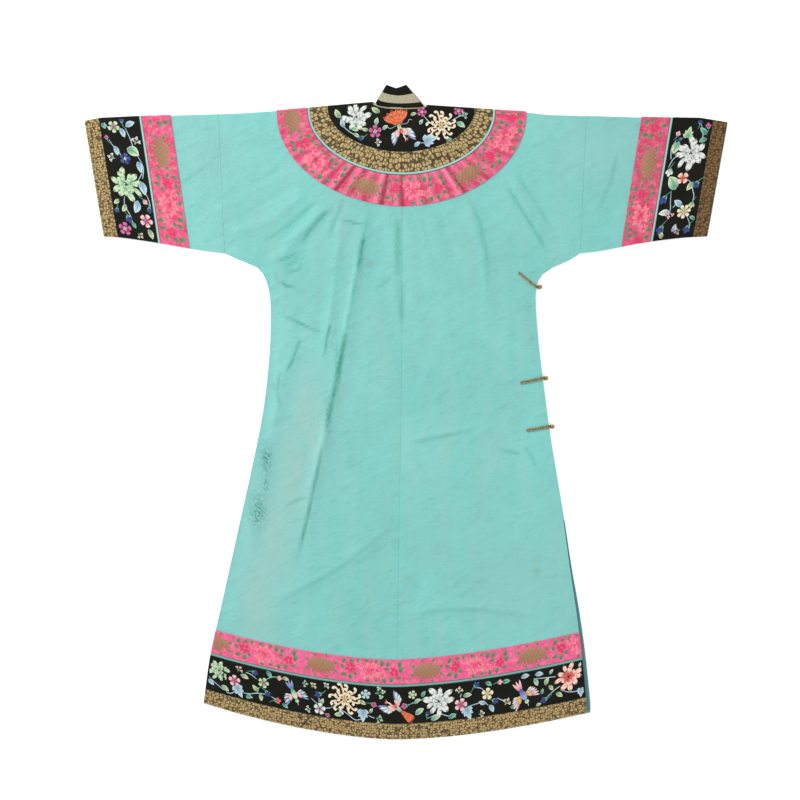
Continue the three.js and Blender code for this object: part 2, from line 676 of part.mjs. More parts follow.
// ---------------------------------------------------------------- stand collar
// Columns run from the centre front round the left side, across the back and round the right side.
function collarGrid() {
  const mid = { back: BACK_LOW + COLLAR_THICK / 2, front: FRONT_LOW + COLLAR_THICK / 2 };
  const turnZ = (mid.back + mid.front) / 2;
  const turnR = (mid.back - mid.front) / 2;
  const topX = (across) => lerp(COLLAR.topLeft, COLLAR.topRight, (across + 1) / 2);
  const base = (across, layer) => {
    const half = across < 0 ? NECK.left : NECK.right;
    const shoulderEnd = shoulder(across < 0 ? -half : half);
    const middle = (layer === "back" ? -NECK.back : -NECK.front) + COLLAR.gap;
    return [across * (half - COLLAR.inset), lerp(shoulderEnd, middle, Math.sqrt(1 - across * across))];
  };
  const top = (across, layer) => {
    const middle = layer === "back" ? COLLAR.top - COLLAR.dip : -COLLAR.frontTop;
    return [topX(across), lerp(middle, COLLAR.top, across * across)];
  };
  const rim = (across, layer, z, outward = 0) =>
    COLLAR_ROWS.map((share) => {
      const [bx, by] = base(across, layer);
      const [tx, ty] = top(across, layer);
      return new THREE.Vector3(lerp(bx, tx, share) + outward, lerp(by, ty, share), z);
    });
  const turns = [0, 22.5, 45, 67.5, 90].map(radians);
  const grid = [];
  const open = COLLAR.slit / (2 * NECK.left);
  for (const turn of turns) grid.push(rim(-Math.max(Math.sin(turn), open), "front", mid.front));
  for (const turn of [-45, 0, 45].map(radians)) {
    grid.push(rim(-1, "back", turnZ + turnR * Math.sin(turn), -turnR * Math.cos(turn)));
  }
  for (let k = 0; k <= 10; k += 1) grid.push(rim(-1 + k / 5, "back", mid.back));
  for (const turn of [45, 0, -45].map(radians)) {
    grid.push(rim(1, "back", turnZ + turnR * Math.sin(turn), turnR * Math.cos(turn)));
  }
  for (const turn of [...turns].reverse()) grid.push(rim(Math.max(Math.sin(turn), open), "front", mid.front));
  return grid;
}

function collar() {
  const grid = collarGrid();
  add("collar", wall(grid, -COLLAR_THICK / 2, COLLAR_THICK / 2), "black");
  const frontTurns = 5;
  const ribbon = grid.slice(frontTurns - 1, grid.length - frontTurns + 1).map((column) => column.slice(1, 3));
  const low = COLLAR_THICK / 2 + SEAM;
  add("collar_ribbon", wall(drawnIn(ribbon, true), low, low + 0.8), "cream");
}

// ---------------------------------------------------------------- closures
// A cord doubled on the back ends in a loop that lies round the shank of a ball at the side edge. The ball
// stands on a flat strap under the overlap.
function closure({ name, below, slope }) {
  const edge = sideEdge("right", below);
  const ballX = edge + BALL.out;
  const onCloth = BACK_LOW + CLOTH + SEAM + STRAP.cord;
  const loopR = BALL.shank + SEAM + STRAP.cord;
  const loopZ = BALL.low - SEAM - STRAP.cord;
  const tilt = Math.atan(slope);
  const half = STRAP.pitch / 2;
  const leg = (side) => [
    [-STRAP.length - BALL.out, side * half, onCloth],
    [-STRAP.length * 0.66 - BALL.out, side * half, onCloth],
    [-STRAP.length * 0.33 - BALL.out, side * half, onCloth],
    [-BALL.out - 2, side * half, onCloth],
    [-BALL.out + 1, side * half, onCloth + 0.1],
    [-BALL.out + 2.6, side * half * 1.2, onCloth - 1.4],
    [-loopR * 0.55, side * loopR * 0.85, loopZ + 0.3],
  ];
  const loop = [
    [0, loopR, loopZ],
    [loopR * 0.8, loopR * 0.6, loopZ],
    [loopR, 0, loopZ],
    [loopR * 0.8, -loopR * 0.6, loopZ],
    [0, -loopR, loopZ],
  ];
  const path = [...leg(1), ...loop, ...leg(-1).reverse()].map(([along, side, z]) => {
    const droop = along < -BALL.out ? (along + BALL.out) * Math.sin(tilt) : 0;
    const reach = along < -BALL.out ? (along + BALL.out) * Math.cos(tilt) - BALL.out : along;
    return new THREE.Vector3(ballX + reach, -below + droop + side, z);
  });
  const section = new THREE.Shape(
    Array.from({ length: STRAP.sides }, (_, k) => {
      const angle = (2 * Math.PI * k) / STRAP.sides;
      return new THREE.Vector2(STRAP.cord * Math.cos(angle), STRAP.cord * Math.sin(angle));
    }),
  );
  const cord = new THREE.ExtrudeGeometry(section, {
    steps: STRAP.steps,
    bevelEnabled: false,
    extrudePath: new THREE.CatmullRomCurve3(path),
  });
  add(`${name}_loop`, cord, "cord");

  const centreZ = BALL.low + BALL.radius;
  const profile = [new THREE.Vector2(0, BALL.shankLow), new THREE.Vector2(BALL.shank, BALL.shankLow)];
  const start = Math.asin(BALL.shank / BALL.radius);
  const arcSteps = 6;
  for (let k = 0; k <= arcSteps; k += 1) {
    const angle = lerp(start, Math.PI, k / arcSteps);
    const r = k === arcSteps ? 0 : BALL.radius * Math.sin(angle);
    profile.push(new THREE.Vector2(r, centreZ - BALL.radius * Math.cos(angle)));
  }
  const ball = new THREE.LatheGeometry(profile, 10);
  ball.rotateX(Math.PI / 2);
  ball.translate(ballX, -below, 0);
  add(`${name}_ball`, ball, "brass", 0.35, 1);

  const stay = new THREE.BoxGeometry(STAY.length + BALL.out, STAY.width, TRIM);
  stay.translate(ballX + STAY.width / 2 - (STAY.length + BALL.out) / 2, -below, TRIM / 2);
  add(`${name}_stay`, stay, "cord");
}

// ---------------------------------------------------------------- the robe
hemBandsOfBack();
hemBandsOfFront();
overlap();
liningStrip();
sleeve("left");
sleeve("right");
YOKE_RINGS.slice(1).forEach((ring, k) => {
  add(ring.name, yokeRing(YOKE_RINGS[k], ring), RING_COLOURS[ring.name]);
});
collar();
CLOSURES.forEach(closure);

// The origin is under the middle of the robe's box.
const box = new THREE.Box3().setFromObject(robe);
const centre = box.getCenter(new THREE.Vector3());
robe.position.set(-centre.x, -centre.y, -box.min.z);

export default robe;
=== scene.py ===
import math
from functools import partial

import bmesh
import bpy
import numpy as np
from bpy.props import FloatProperty, FloatVectorProperty, PointerProperty
from bpy.types import Operator, Panel, PropertyGroup
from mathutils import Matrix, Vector


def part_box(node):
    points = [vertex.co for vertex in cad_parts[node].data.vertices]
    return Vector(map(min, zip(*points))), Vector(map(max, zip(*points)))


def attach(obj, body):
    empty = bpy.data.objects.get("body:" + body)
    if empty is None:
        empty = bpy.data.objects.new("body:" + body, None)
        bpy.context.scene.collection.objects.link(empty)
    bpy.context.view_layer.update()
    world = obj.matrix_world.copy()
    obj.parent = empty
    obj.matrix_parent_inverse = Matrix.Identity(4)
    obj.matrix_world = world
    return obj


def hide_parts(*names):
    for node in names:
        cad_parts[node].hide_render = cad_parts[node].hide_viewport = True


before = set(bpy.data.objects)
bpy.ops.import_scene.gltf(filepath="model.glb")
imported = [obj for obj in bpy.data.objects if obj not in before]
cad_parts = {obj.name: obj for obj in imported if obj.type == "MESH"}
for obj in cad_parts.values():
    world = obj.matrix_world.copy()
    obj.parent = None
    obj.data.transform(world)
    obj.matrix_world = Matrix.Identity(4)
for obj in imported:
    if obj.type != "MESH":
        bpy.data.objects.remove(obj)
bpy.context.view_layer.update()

bl_info = {
    "name": "Silk Robe Dresser",
    "version": (1, 0, 0),
    "blender": (4, 5, 0),
    "location": "View3D > Sidebar > Robe",
    "description": "Makes the silk, ribbons, embroidery and closures of a side-closing robe",
    "category": "Object",
}

MM = 0.001


def linear(red, green, blue):
    """A display colour of 0 to 255 a channel as linear light."""
    share = np.array([red, green, blue]) / 255
    light = np.where(share <= 0.04045, share / 12.92, ((share + 0.055) / 1.055) ** 2.4)
    return tuple(float(c) for c in light)


# ---------------------------------------------------------------- sizes, in millimetres
# x runs from the centre back seam towards the right sleeve, and below is the depth under the shoulder.
SIDE_NAMES = {-1: "left", 1: "right"}
CLOTH = 1.2
TRIM = 1.0
SEAM = 0.3
SEWN_GAP = 0.04  # between two pieces of silk that are sewn edge to edge
COLLAR_THICK = 1.4
FRONT_LOW = TRIM + SEAM
INNER_LOW = FRONT_LOW + CLOTH + SEAM
BACK_LOW = INNER_LOW + CLOTH + 0.6
BACK_MID = BACK_LOW + CLOTH / 2
FRONT_MID = FRONT_LOW + CLOTH / 2
INNER_MID = INNER_LOW + CLOTH / 2
UPPER_LAYER = INNER_MID + 0.4  # points above this are on the back
FOLD_Z = (BACK_MID + FRONT_MID) / 2
FOLD_R = (BACK_MID - FRONT_MID) / 2
FOLD_TURNS = (60, 30, 0, -30, -60)  # degrees round a fold, from the back to the front
BAND_LOW = CLOTH / 2 + SEAM  # a band's underside above the middle of the cloth that it lies on
BAND_TOP = BAND_LOW + TRIM
FACE_RECESS = 0.45  # the front's bands stop this far above the ground, which their embroidery reaches

HEM_DEPTH = 1135.0
HEM_RISE = {-1: 65.0, 1: 47.0}
HEM_CURVE = 1.65
HEM_WIDER = 0.00012
SEAM_DRIFT = 10.0
NECK = {-1: 50.0, 1: 41.0}
NECK_COLUMNS = 9
NECK_BACK = -1.5
NECK_FRONT = 72.0
WAIST = 560.0
UNDERARM = 260.0
SLEEVE_TOP = 331.0
SLEEVE_BOTTOM = 320.0

# Rounded measures that settle how many cells of cloth a piece gets
HEM_HALF, SLEEVE_DEPTH, OVERLAP_WIDTH, YOKE_BACK, YOKE_FRONT = 345, 250, 330, 640, 250

# depth, left side edge, right side edge, lining showing past the right edge
SIDES = np.array([
    (260, 320, 320, 0), (273, 291, 300, 0), (283, 265, 276, 0), (296, 252, 254, 0),
    (314, 244, 243, 0), (345, 238, 240, 0), (417, 238, 245, 0), (471, 242, 251, 0),
    (525, 248, 258, 0), (579, 257, 265, 0), (660, 274, 278, 0.4), (741, 292, 290, 1.6),
    (822, 310, 301, 2.8), (903, 328, 313, 5), (984, 346, 323, 6.3), (1070, 358, 331, 7.2),
], float)
HEM_CORNER = SIDES[-1, 0]

# x, height of the shoulder's edge
SHOULDER = np.array([
    (-572, -22.5), (-544, -17), (-472, -13.5), (-292, -8), (-226.5, -3.5), (-50, 12),
    (41, 6.5), (223, -5.5), (262, -10), (428, -15.3), (536, -17), (585, -25),
], float)

# distance of the cuff's top and bottom corners from the centre, and the sleeve's lower edge: x, depth
CUFF_TOP = {-1: 572.0, 1: 585.0}
CUFF_BOTTOM = {-1: 538.0, 1: 549.0}
UNDER_SLEEVE = {
    -1: np.array([(320, 260), (364, 254.5), (436, 242), (508, 231.5), (538, 229.5)], float),
    1: np.array([(320, 260), (356, 256), (428, 242), (500, 232.5), (549, 229.5)], float),
}

# bands from the free edge inwards, with their widths
HEM_BANDS = {"gold": 28.0, "black": 66.0, "piping": 5.0, "pink": 45.0}
CUFF_BANDS = {"gold": 26.0, "black": 72.0, "piping": 5.0, "pink": 52.0}
HEM_STACK = sum(HEM_BANDS.values())
CUFF_STACK = sum(CUFF_BANDS.values())

# yoke rings: outer edge's distance left and right of the centre, below the shoulder on back and front
RINGS = {
    "neckline": (51, 42, -1.2, 74),
    "collar_piping": (53.2, 44.2, 1.2, 76.4),
    "yoke_black": (134, 130, 77.5, 132),
    "yoke_gold": (166.5, 163, 114.5, 165),
    "yoke_piping": (171.5, 168, 119.5, 170),
    "yoke_pink": (226.5, 223, 175.5, 222),
}

# Folds and creases of the back: x and depth of the places that each runs through in turn, its height, which
# is negative for a trough, and half its width
FOLDS = [
    ([-52, 170, -80, 290, -106, 440, -135, 568, -160, 672, -193, 830], 7.2, 25),
    ([-66, 180, -93, 300, -117, 440, -146, 568, -172, 690], -1.6, 13),
    ([-104, 165, -120, 292, -130, 375, -140, 450], 4.2, 20),
    ([-120, 165, -173, 211, -214, 262, -240, 275], 4.0, 20),
    ([-153, 132, -214, 184, -259, 214, -338, 222], 3.4, 22),
    ([-185, 420, -214, 478, -224, 530, -250, 650], 2.6, 22),
    ([-9, 185, -8, 250, -10, 330, -4, 430], 2.6, 16), ([104, 150, 133, 217, 148, 265, 152, 400], 4.0, 22),
    ([190, 105, 228, 184, 262, 240], 4.2, 20), ([215, 118, 246, 192, 266, 226], 2.0, 14),
    ([300, 110, 330, 150, 396, 216], 2.6, 22), ([-407, 146, -360, 112, -315, 74], 1.6, 22),
    ([-220, 308, -207, 316, -190, 326], 1.3, 9), ([-234, 262, -214, 276, -194, 292], 1.4, 9),
    ([-240, 282, -226, 300, -214, 322], 1.0, 8), ([-223, 368, -186, 386, -146, 402], 1.2, 9),
    ([5, 602, 66, 588, 135, 576], 2.6, 20), ([66, 606, 120, 599, 170, 590], -1.0, 9),
    ([172, 615, 192, 617, 214, 620], 0.9, 8), ([216, 604, 230, 622, 242, 648], 1.0, 9),
    ([-4, 914, 74, 901, 146, 901, 268, 921], 3.0, 22), ([-218, 680, -194, 668, -164, 655], 1.1, 10),
    ([-212, 718, -198, 710, -180, 698], 1.0, 9), ([-256, 905, -103, 818, -14, 750], 3.2, 26),
    ([20, 470, 96, 452, 190, 470], 0.9, 18), ([150, 760, 196, 742, 262, 748], 1.1, 18),
    ([-180, 925, -120, 905, -60, 935], 1.2, 18), ([60, 330, 88, 420, 84, 520], 1.4, 20),
    ([196, 330, 188, 420, 202, 540], 1.3, 18), ([420, 60, 405, 120, 372, 190], 1.4, 18),
]
# Sharp creases of the silk: x and depth of their places, depth of the crease, half its width and how dark it
# is painted (partly wear, partly painted shade)
CREASES = [
    ([-54, 168, -64, 206, -72, 246, -81, 294, -94, 365, -103, 410, -112, 458], 0.8, 3.2, 0.55),
    ([-67, 222, -72, 246, -77, 272, -83, 304], 1.2, 4.0, 1.0),
    ([-100, 392, -103, 410, -112, 458, -119, 491, -133, 557, -143, 605], 1.5, 4.6, 1.0),
    ([-141, 590, -152, 650, -166, 715, -180, 775, -193, 822], 0.9, 2.8, 0.8),
    ([-128, 385, -132, 398, -136, 415, -140, 452], 0.8, 2.4, 0.9),
    ([-183, 412, -187, 425, -197, 453, -214, 482], 0.7, 2.8, 0.65),
    ([-217, 470, -222, 486, -224, 516, -217, 546], 0.6, 2.8, 0.5),
    ([-222, 368, -187, 385, -157, 399, -138, 403], 0.7, 2.4, 0.75),
    ([-222, 310, -208, 319, -188, 323], 0.6, 2.4, 0.75), ([-120, 197, -86, 206, -64, 208], 0.6, 2.4, 0.6),
    ([-186, 256, -205, 268, -232, 276], 0.5, 2.6, 0.5), ([-184, 266, -200, 280, -222, 284], 0.5, 2.6, 0.45),
    ([-176, 276, -190, 292, -216, 292], 0.5, 2.6, 0.4), ([-230, 288, -226, 306, -218, 322], 0.5, 2.6, 0.3),
    ([-128, 178, -147, 196, -170, 224, -184, 250], 0.8, 4.4, 0.55),
    ([-150, 160, -186, 196, -226, 226, -262, 246], 0.6, 4.4, 0.35),
    ([-106, 160, -111, 176, -122, 206, -138, 246], 0.7, 3.6, 0.4),
    ([-6, 190, -7, 215, -6, 270, -5, 318], 0.7, 3.2, 0.6),
    ([0, 306, 1, 330, 0, 360, -1, 396], 0.6, 3.0, 0.45), ([-20, 300, -36, 318, -52, 326], 0.5, 2.8, 0.35),
    ([176, 120, 214, 180, 246, 232, 262, 262], 0.7, 3.6, 0.5),
    ([200, 108, 240, 170, 272, 222], 0.5, 3.2, 0.3),
    ([110, 140, 140, 205, 152, 262, 154, 330], 0.6, 4.2, 0.3),
    ([6, 604, 70, 590, 136, 576], 0.5, 3.4, 0.35), ([168, 613, 192, 617, 216, 622], 0.5, 2.6, 0.45),
    ([216, 602, 230, 622, 242, 650], 0.5, 2.8, 0.3),
    ([-2, 912, 74, 902, 148, 902, 262, 920], 0.6, 3.6, 0.28),
    ([-250, 905, -103, 820, -16, 752], 0.5, 4.2, 0.2), ([-214, 718, -190, 704, -160, 700], 0.5, 2.6, 0.35),
    ([388, 70, 376, 130, 350, 190], 0.5, 3.6, 0.28), ([-420, 150, -366, 112, -316, 72], 0.5, 3.6, 0.28),
]
FOLD_SHARE = 0.65
CRINKLE_SLANT = -0.5
FLAT_MARGIN, FLAT_FADE = 12.0, 30.0  # the silk lies flat beside the yoke
EASED_REACH = 130.0
# Gathers along the centre seam: where they start, height, spacing, reach; its groove: depth, half width
SEAM_START, SEAM_GATHER, SEAM_SPACING, SEAM_REACH, SEAM_GROOVE, GROOVE_HALF = 180, 0.22, 17, 9, 0.45, 1.8

# Swells too low to be folds: wavelength along x and along y, phase, height
SWELLS = [
    (210, 340, 0.3, 0.42), (-150, 260, 1.9, 0.34), (96, -410, 4.1, 0.24), (64, 210, 2.2, 0.13),
    (-47, 300, 5.0, 0.1), (38, -150, 0.9, 0.07), (27, 400, 3.3, 0.05), (300, 33, 1.1, 0.05),
]

# Gathers that spread from the yoke: how many go round a full turn, phase, height
GATHERS = [(34, 0.4, 0.50), (53, 2.1, 0.36), (87, 4.4, 0.22)]

# Puckers across the yoke's pink ribbon: degrees round from the left shoulder, height, half width
PUCKERS = [
    (13, 0.7, 4), (22, 0.9, 4), (30, 1.2, 4), (37, 1.6, 4), (45, 1.0, 4), (50, 1.6, 4), (57, 2.8, 4),
    (64, 1.6, 3), (71, 1.0, 4), (79, 2.8, 4), (84, 1.0, 3), (88, 2.4, 4), (99, 1.2, 4), (106, 0.9, 4),
    (112, 1.3, 3), (118, 2.8, 4), (125, 1.2, 3), (131, 1.6, 4), (139, 0.9, 4), (148, 1.3, 4),
    (158, 0.9, 5), (168, 0.7, 4),
]

# Wear of the silk: x, depth, half width, half height, strength
FADED = [
    (-168, 560, 40, 110, 1.0), (-196, 660, 42, 120, 1.0), (-228, 770, 42, 120, 1.0),
    (-258, 880, 40, 110, 1.0), (-252, 766, 84, 210, 0.45), (356, 73, 110, 80, 0.5),
    (-364, 91, 130, 100, 0.4), (210, 850, 130, 130, 0.3), (-120, 470, 60, 150, 0.25),
    (60, 300, 110, 120, 0.2), (470, 120, 90, 110, 0.3),
]
STAINED = [
    (-58, 280, 9, 8, 0.8), (13, 847, 10, 9, 0.7), (241, 832, 7, 6, 0.8), (30, 640, 7, 5, 0.5),
    (-30, 905, 8, 6, 0.5), (190, 700, 9, 6, 0.4), (-330, 60, 12, 6, 0.4), (118, 505, 8, 6, 0.45),
]
SCUFFED = [
    (-245, 631, 10, 27, 1.0), (-246, 678, 6, 13, 0.9), (-259, 723, 14, 30, 1.0), (-117, 472, 6, 40, 0.8),
    (-133, 550, 6, 34, 0.8), (-74, 268, 5, 30, 0.5), (-8, 268, 5, 34, 0.4),
]

# Loop-and-ball closures: number, depth, slope of the strap
CLOSURES = [(1, 321.0, -0.80), (2, 485.0, 0.21), (3, 572.0, 0.18)]
STRAP_LENGTH, CORD, CORD_PITCH = 41.0, 1.35, 3.1
BALL_RADIUS, BALL_OUT, SHANK, BALL_LOW = 3.8, 6.4, 1.0, 4.6
STAY_LENGTH, STAY_WIDTH = 40.0, 5.0

# The overlap's curved edge from the neck to the first closure: the two ends and the two pulls of its curve
OVERLAP_EDGE = [(0.15, 80), (150, 110), (228, 225), (243, 314)]

# Stand collar: how far its base stands inside the neckline, and the plan of its upper edge
COLLAR_INSET, COLLAR_GAP = 3.4, 0.8
COLLAR_TOP_LEFT, COLLAR_TOP_RIGHT = -27.0, 5.0
COLLAR_TOP, COLLAR_DIP, COLLAR_FRONT_TOP, COLLAR_SLIT = 43.0, 5.5, 30.0, 0.8
COLLAR_RIBBON = (0.2, 0.6)
RIBBON_THICK = 0.8
NARROWEST_CUT = 10.0

# ---------------------------------------------------------------- needlework's threads and layouts
ROUND, BLUNT, POINTED = (0.7, 0.5), (0.95, 0.42), (0.7, 0.85)  # how fast a petal widens and closes
# Lines along a petal, as shares of its half width
COARSE, PLAIN, EDGED = [0, 0.6, 1], [0, 0.5, 0.85, 1], [0, 0.5, 0.76, 0.86, 1]
LOBED = [0, 0.3, 0.6, 0.78, 0.88, 1]
EDGE_MARGIN = 3.0
LAYER_RISE = 0.16
PATCH_SUNK = 0.15
CUFF_DEPTH = 211.0
# How far needlework may reach along each band, from the centre seam, the shoulder or the yoke's middle
HEM_REACH, CUFF_REACH, YOKE_REACH = (-350, 328), (1, 210), (-128, 124)
HEM_RIBBON_REACH, YOKE_RIBBON_REACH = (-345, 324), (-305, 305)

# Shades of each thread at a petal's root and at its tip
THREADS = {
    name: (linear(*root), linear(*tip))
    for name, root, tip in (
        ("white", (150, 164, 156), (232, 236, 228)),
        ("cream", (186, 156, 110), (246, 232, 202)),
        ("mint", (72, 146, 118), (200, 224, 180)),
        ("leaf", (92, 140, 100), (206, 220, 172)),
        ("teal", (36, 104, 92), (124, 200, 168)),
        ("sky", (106, 148, 172), (190, 216, 222)),
        ("azure", (40, 72, 144), (142, 162, 210)),
        ("blue", (12, 20, 78), (34, 60, 138)),
        ("magenta", (112, 18, 74), (206, 96, 156)),
        ("rose", (176, 44, 96), (240, 206, 204)),
        ("pink", (206, 84, 130), (246, 196, 194)),
        ("red", (152, 26, 36), (236, 104, 96)),
        ("coral", (226, 108, 100), (250, 214, 196)),
        ("orange", (176, 56, 26), (238, 120, 66)),
        ("gold", (150, 106, 48), (236, 186, 100)),
        ("shadow", (26, 20, 14), (34, 26, 18)),
        ("woven_green", (72, 104, 78), (118, 142, 106)),
        ("woven_brown", (128, 92, 50), (160, 124, 76)),
        ("woven_tan", (190, 96, 84), (184, 116, 88)),
        ("woven_rose", (196, 26, 72), (228, 56, 104)),
        ("woven_pale", (222, 70, 112), (242, 138, 148)),
    )
}

# Kind, distance from the centre seam, height above the gold band, size, direction, and its threads where
# they aren't the kind's usual ones. A stem is its places along and across in turn.
HEM_WORK = [
    ("peony", -330, 42, 17, 200, "mint", "leaf"), ("sprig", -297, 50, 10, 50, "teal", "pink"),
    ("bud", -270, 56, 9, -10), ("leaf", -284, 43, 15, -15), ("blossom", -302, 31, 11, 20),
    ("ivy", -296, 17, 19, -60), ("leaf", -319, 12, 15, -25), ("leaf", -345, 16, 14, -35, "sky"),
    ("blossom", -250, 40, 10, 0, "mint", "red"), ("leaf", -264, 27, 14, 140), ("leaf", -255, 12, 13, -80),
    ("ivy", -277, 9, 10, -10, "teal"), ("bud", -246, 26, 10, -45), ("leaf", -240, 58, 14, -55, "teal"),
    ("bud", -226, 56, 8, -10, "pink"), ("leaf", -210, 56, 12, -10), ("bud", -230, 12, 10, 10, "red"),
    ("leaf", -211, 6, 12, -30, "teal"), ("bird", -195, 32, 25, -65, "mint", "pink", "azure"),
    ("sprig", -181, 55, 9, -10, "teal", "mint"), ("sprig", -164, 50, 9, 40, "leaf", "cream"),
    ("bud", -146, 41, 11, 205), ("blossom", -149, 13, 11, 10, "white"), ("leaf", -144, 27, 12, 70, "mint"),
    ("sprig", -164, 10, 9, 190), ("bud", -138, 5, 7, -20, "magenta"), ("sprig", -141, 54, 9, 35, "leaf"),
    ("chrysanthemum", -104, 37, 27, 0), ("blossom", -66, 50, 9, 20, "sky", "white"),
    ("sprig", -50, 53, 16, 8, "teal", "mint"), ("leaf", -72, 34, 13, -25),
    ("bud", -56, 34, 9, -20, "magenta"), ("leaf", -115, 9, 15, 200, "mint"), ("ivy", -71, 15, 19, -90),
    ("leaf", -56, 21, 10, 60), ("sprig", -48, 9, 11, -25, "teal", "mint"),
    ("phoenix", -8, 28, 27, 140, 0.07), ("blossom", 18, 52, 8, 0, "leaf", "cream"),
    ("leaf", 38, 52, 12, 60, "teal"), ("leaf", 27, 40, 13, 35, "mint"), ("bud", 9, 33, 10, 190, "magenta"),
    ("leaf", 31, 21, 18, 35, "mint"), ("peony", 65, 37, 24, 40), ("bud", 44, 13, 7, 75),
    ("leaf", 60, 8, 18, 20, "mint"), ("leaf", 90, 8, 15, 25, "teal"),
    ("sprig", 101, 47, 10, 75, "leaf", "cream"), ("bud", 129, 55, 10, 40), ("leaf", 117, 42, 15, 5),
    ("blossom", 105, 27, 12, 0), ("ivy", 117, 14, 19, -70), ("blossom", 153, 40, 11, 10, "cream", "leaf"),
    ("leaf", 155, 57, 13, -35, "teal"), ("bud", 171, 57, 8, 0, "pink"), ("leaf", 187, 56, 14, 5, "teal"),
    ("leaf", 144, 26, 14, 165, "sky"), ("leaf", 160, 13, 15, -60, "sky"), ("bud", 162, 28, 10, -30),
    ("sprig", 184, 15, 11, 50, "leaf", "cream"), ("leaf", 200, 9, 12, -5, "teal"),
    ("sprig", 137, 6, 9, 0, "teal", "cream"), ("bird", 217, 28, 28, -62, "azure", "gold", "pink"),
    ("leaf", 221, 59, 15, 8, "sky"), ("leaf", 246, 58, 15, -5, "sky"), ("leaf", 240, 45, 14, -65, "mint"),
    ("leaf", 260, 43, 14, 65), ("leaf", 268, 58, 10, 50, "mint"),
    ("peony", 299, 43, 21, 110, "coral", "red"), ("bud", 260, 13, 10, 195),
    ("leaf", 252, 27, 10, 80, "teal"), ("leaf", 267, 30, 12, -50), ("leaf", 282, 15, 14, -35),
    ("leaf", 245, 5, 10, 15), ("ivy", 321, 14, 13, -90), ("leaf", 320, 59, 9, 60, "white"),
]
HEM_STEMS = [
    [-350, 26, -332, 14, -312, 5, -300, 12], [-290, 12, -274, 14, -262, 18, -246, 20],
    [-262, 44, -272, 50, -282, 52], [-262, 18, -258, 30], [-244, 48, -236, 54, -228, 56],
    [-236, 18, -226, 14], [-164, 30, -154, 22, -140, 16, -128, 18], [-150, 34, -150, 24],
    [-128, 20, -104, 14, -86, 2, -74, 4], [-80, 42, -70, 46, -60, 50], [-62, 12, -50, 8],
    [10, 34, 22, 38, 42, 44, 50, 42], [44, 8, 66, 14, 80, 10, 96, 6], [70, 20, 70, 12], [104, 40, 106, 46],
    [112, 20, 128, 24, 146, 26, 154, 20], [146, 48, 140, 52, 132, 54], [170, 30, 184, 22],
    [236, 52, 254, 50, 276, 48], [258, 14, 272, 24, 284, 30], [286, 22, 300, 16, 318, 14],
]

# Where two strips of the hem's gold brocade meet on the slant
HEM_JOINT = [(-183, 1), (-173, 14), (-162, 27)]

# The same for each cuff: distance down from the shoulder and in from the gold band
LEFT_CUFF_WORK = [
    ("blossom", 14, 24, 11, 0, "leaf"), ("bud", 8, 40, 8, 180), ("leaf", 11, 54, 18, 110, "sky"),
    ("leaf", 25, 38, 17, 20, "sky"), ("leaf", 12, 6, 12, 30, "teal"), ("bud", 36, 9, 7, 190, "magenta"),
    ("sprig", 46, 57, 12, 150, "leaf"), ("leaf", 56, 22, 17, 10, "sky"),
    ("leaf", 58, 52, 23, 60, "mint", 0.75), ("blossom", 70, 36, 10, 20, "blue", "sky"),
    ("sprig", 70, 18, 11, 245, "leaf"), ("leaf", 84, 59, 19, 10, "sky"),
    ("peony", 115, 31, 25, 15, "mint", "mint"), ("leaf", 120, 59, 24, 15, "sky"),
    ("leaf", 153, 43, 23, -20, "sky"), ("leaf", 157, 20, 15, -30), ("leaf", 146, 8, 13, -50),
    ("bud", 170, 24, 11, 15), ("bud", 158, 8, 8, -20), ("bud", 140, 57, 8, 40, "pink"),
    ("blossom", 194, 16, 12, 30, "magenta", "rose"), ("blossom", 176, 57, 12, 10),
    ("leaf", 198, 61, 17, 20), ("leaf", 186, 33, 12, 30, "teal"), ("bud", 152, 66, 9, 0),
    ("sprig", 199, 38, 9, 40, "teal", "cream"),
]
LEFT_CUFF_STEMS = [
    [16, 44, 34, 50, 52, 54], [36, 12, 48, 18, 58, 26, 66, 30], [62, 58, 84, 66, 104, 62],
    [112, 50, 98, 60, 90, 64], [136, 24, 152, 22, 172, 30, 188, 32], [124, 62, 144, 68, 162, 66],
    [16, 14, 6, 8],
]
RIGHT_CUFF_WORK = [
    ("ivy", 27, 40, 17, 190, "mint"), ("leaf", 20, 14, 17, 130, "teal"), ("leaf", 36, 12, 15, 60, "teal"),
    ("bud", 14, 6, 9, 170, "magenta"), ("bud", 9, 22, 8, 180), ("bud", 30, 60, 8, 200, "pink"),
    ("peony", 60, 30, 25, 0), ("leaf", 50, 58, 22, 20, "mint", 0.65), ("bud", 34, 51, 7, 60),
    ("bud", 86, 62, 12, 10, "white"), ("blossom", 104, 37, 11, 45, "coral", "red", 4),
    ("leaf", 112, 54, 27, 150, "mint", 0.7), ("leaf", 119, 20, 19, 40), ("bud", 110, 8, 12, 30),
    ("bud", 134, 62, 13, 30), ("bud", 147, 12, 10, 10, "leaf"), ("leaf", 149, 38, 19, 130, "sky"),
    ("leaf", 164, 60, 20, 90, "white"), ("blossom", 164, 25, 13, 0, "cream", "leaf", 7),
    ("sprig", 160, 50, 12, 0, "teal", "pink"), ("bud", 186, 60, 13, 20), ("bud", 190, 12, 12, 20),
    ("leaf", 192, 38, 14, 200, "sky"), ("leaf", 202, 60, 14, 160), ("leaf", 176, 8, 12, 120, "teal"),
    ("sprig", 196, 26, 9, 60, "teal", "pink"),
]
RIGHT_CUFF_STEMS = [
    [8, 20, 24, 14, 40, 14], [62, 50, 70, 60, 84, 66], [106, 30, 112, 22, 134, 12, 146, 12],
    [126, 54, 146, 52, 158, 50, 170, 52], [156, 46, 150, 42], [172, 18, 188, 10, 196, 12],
    [36, 60, 52, 66, 70, 64],
]

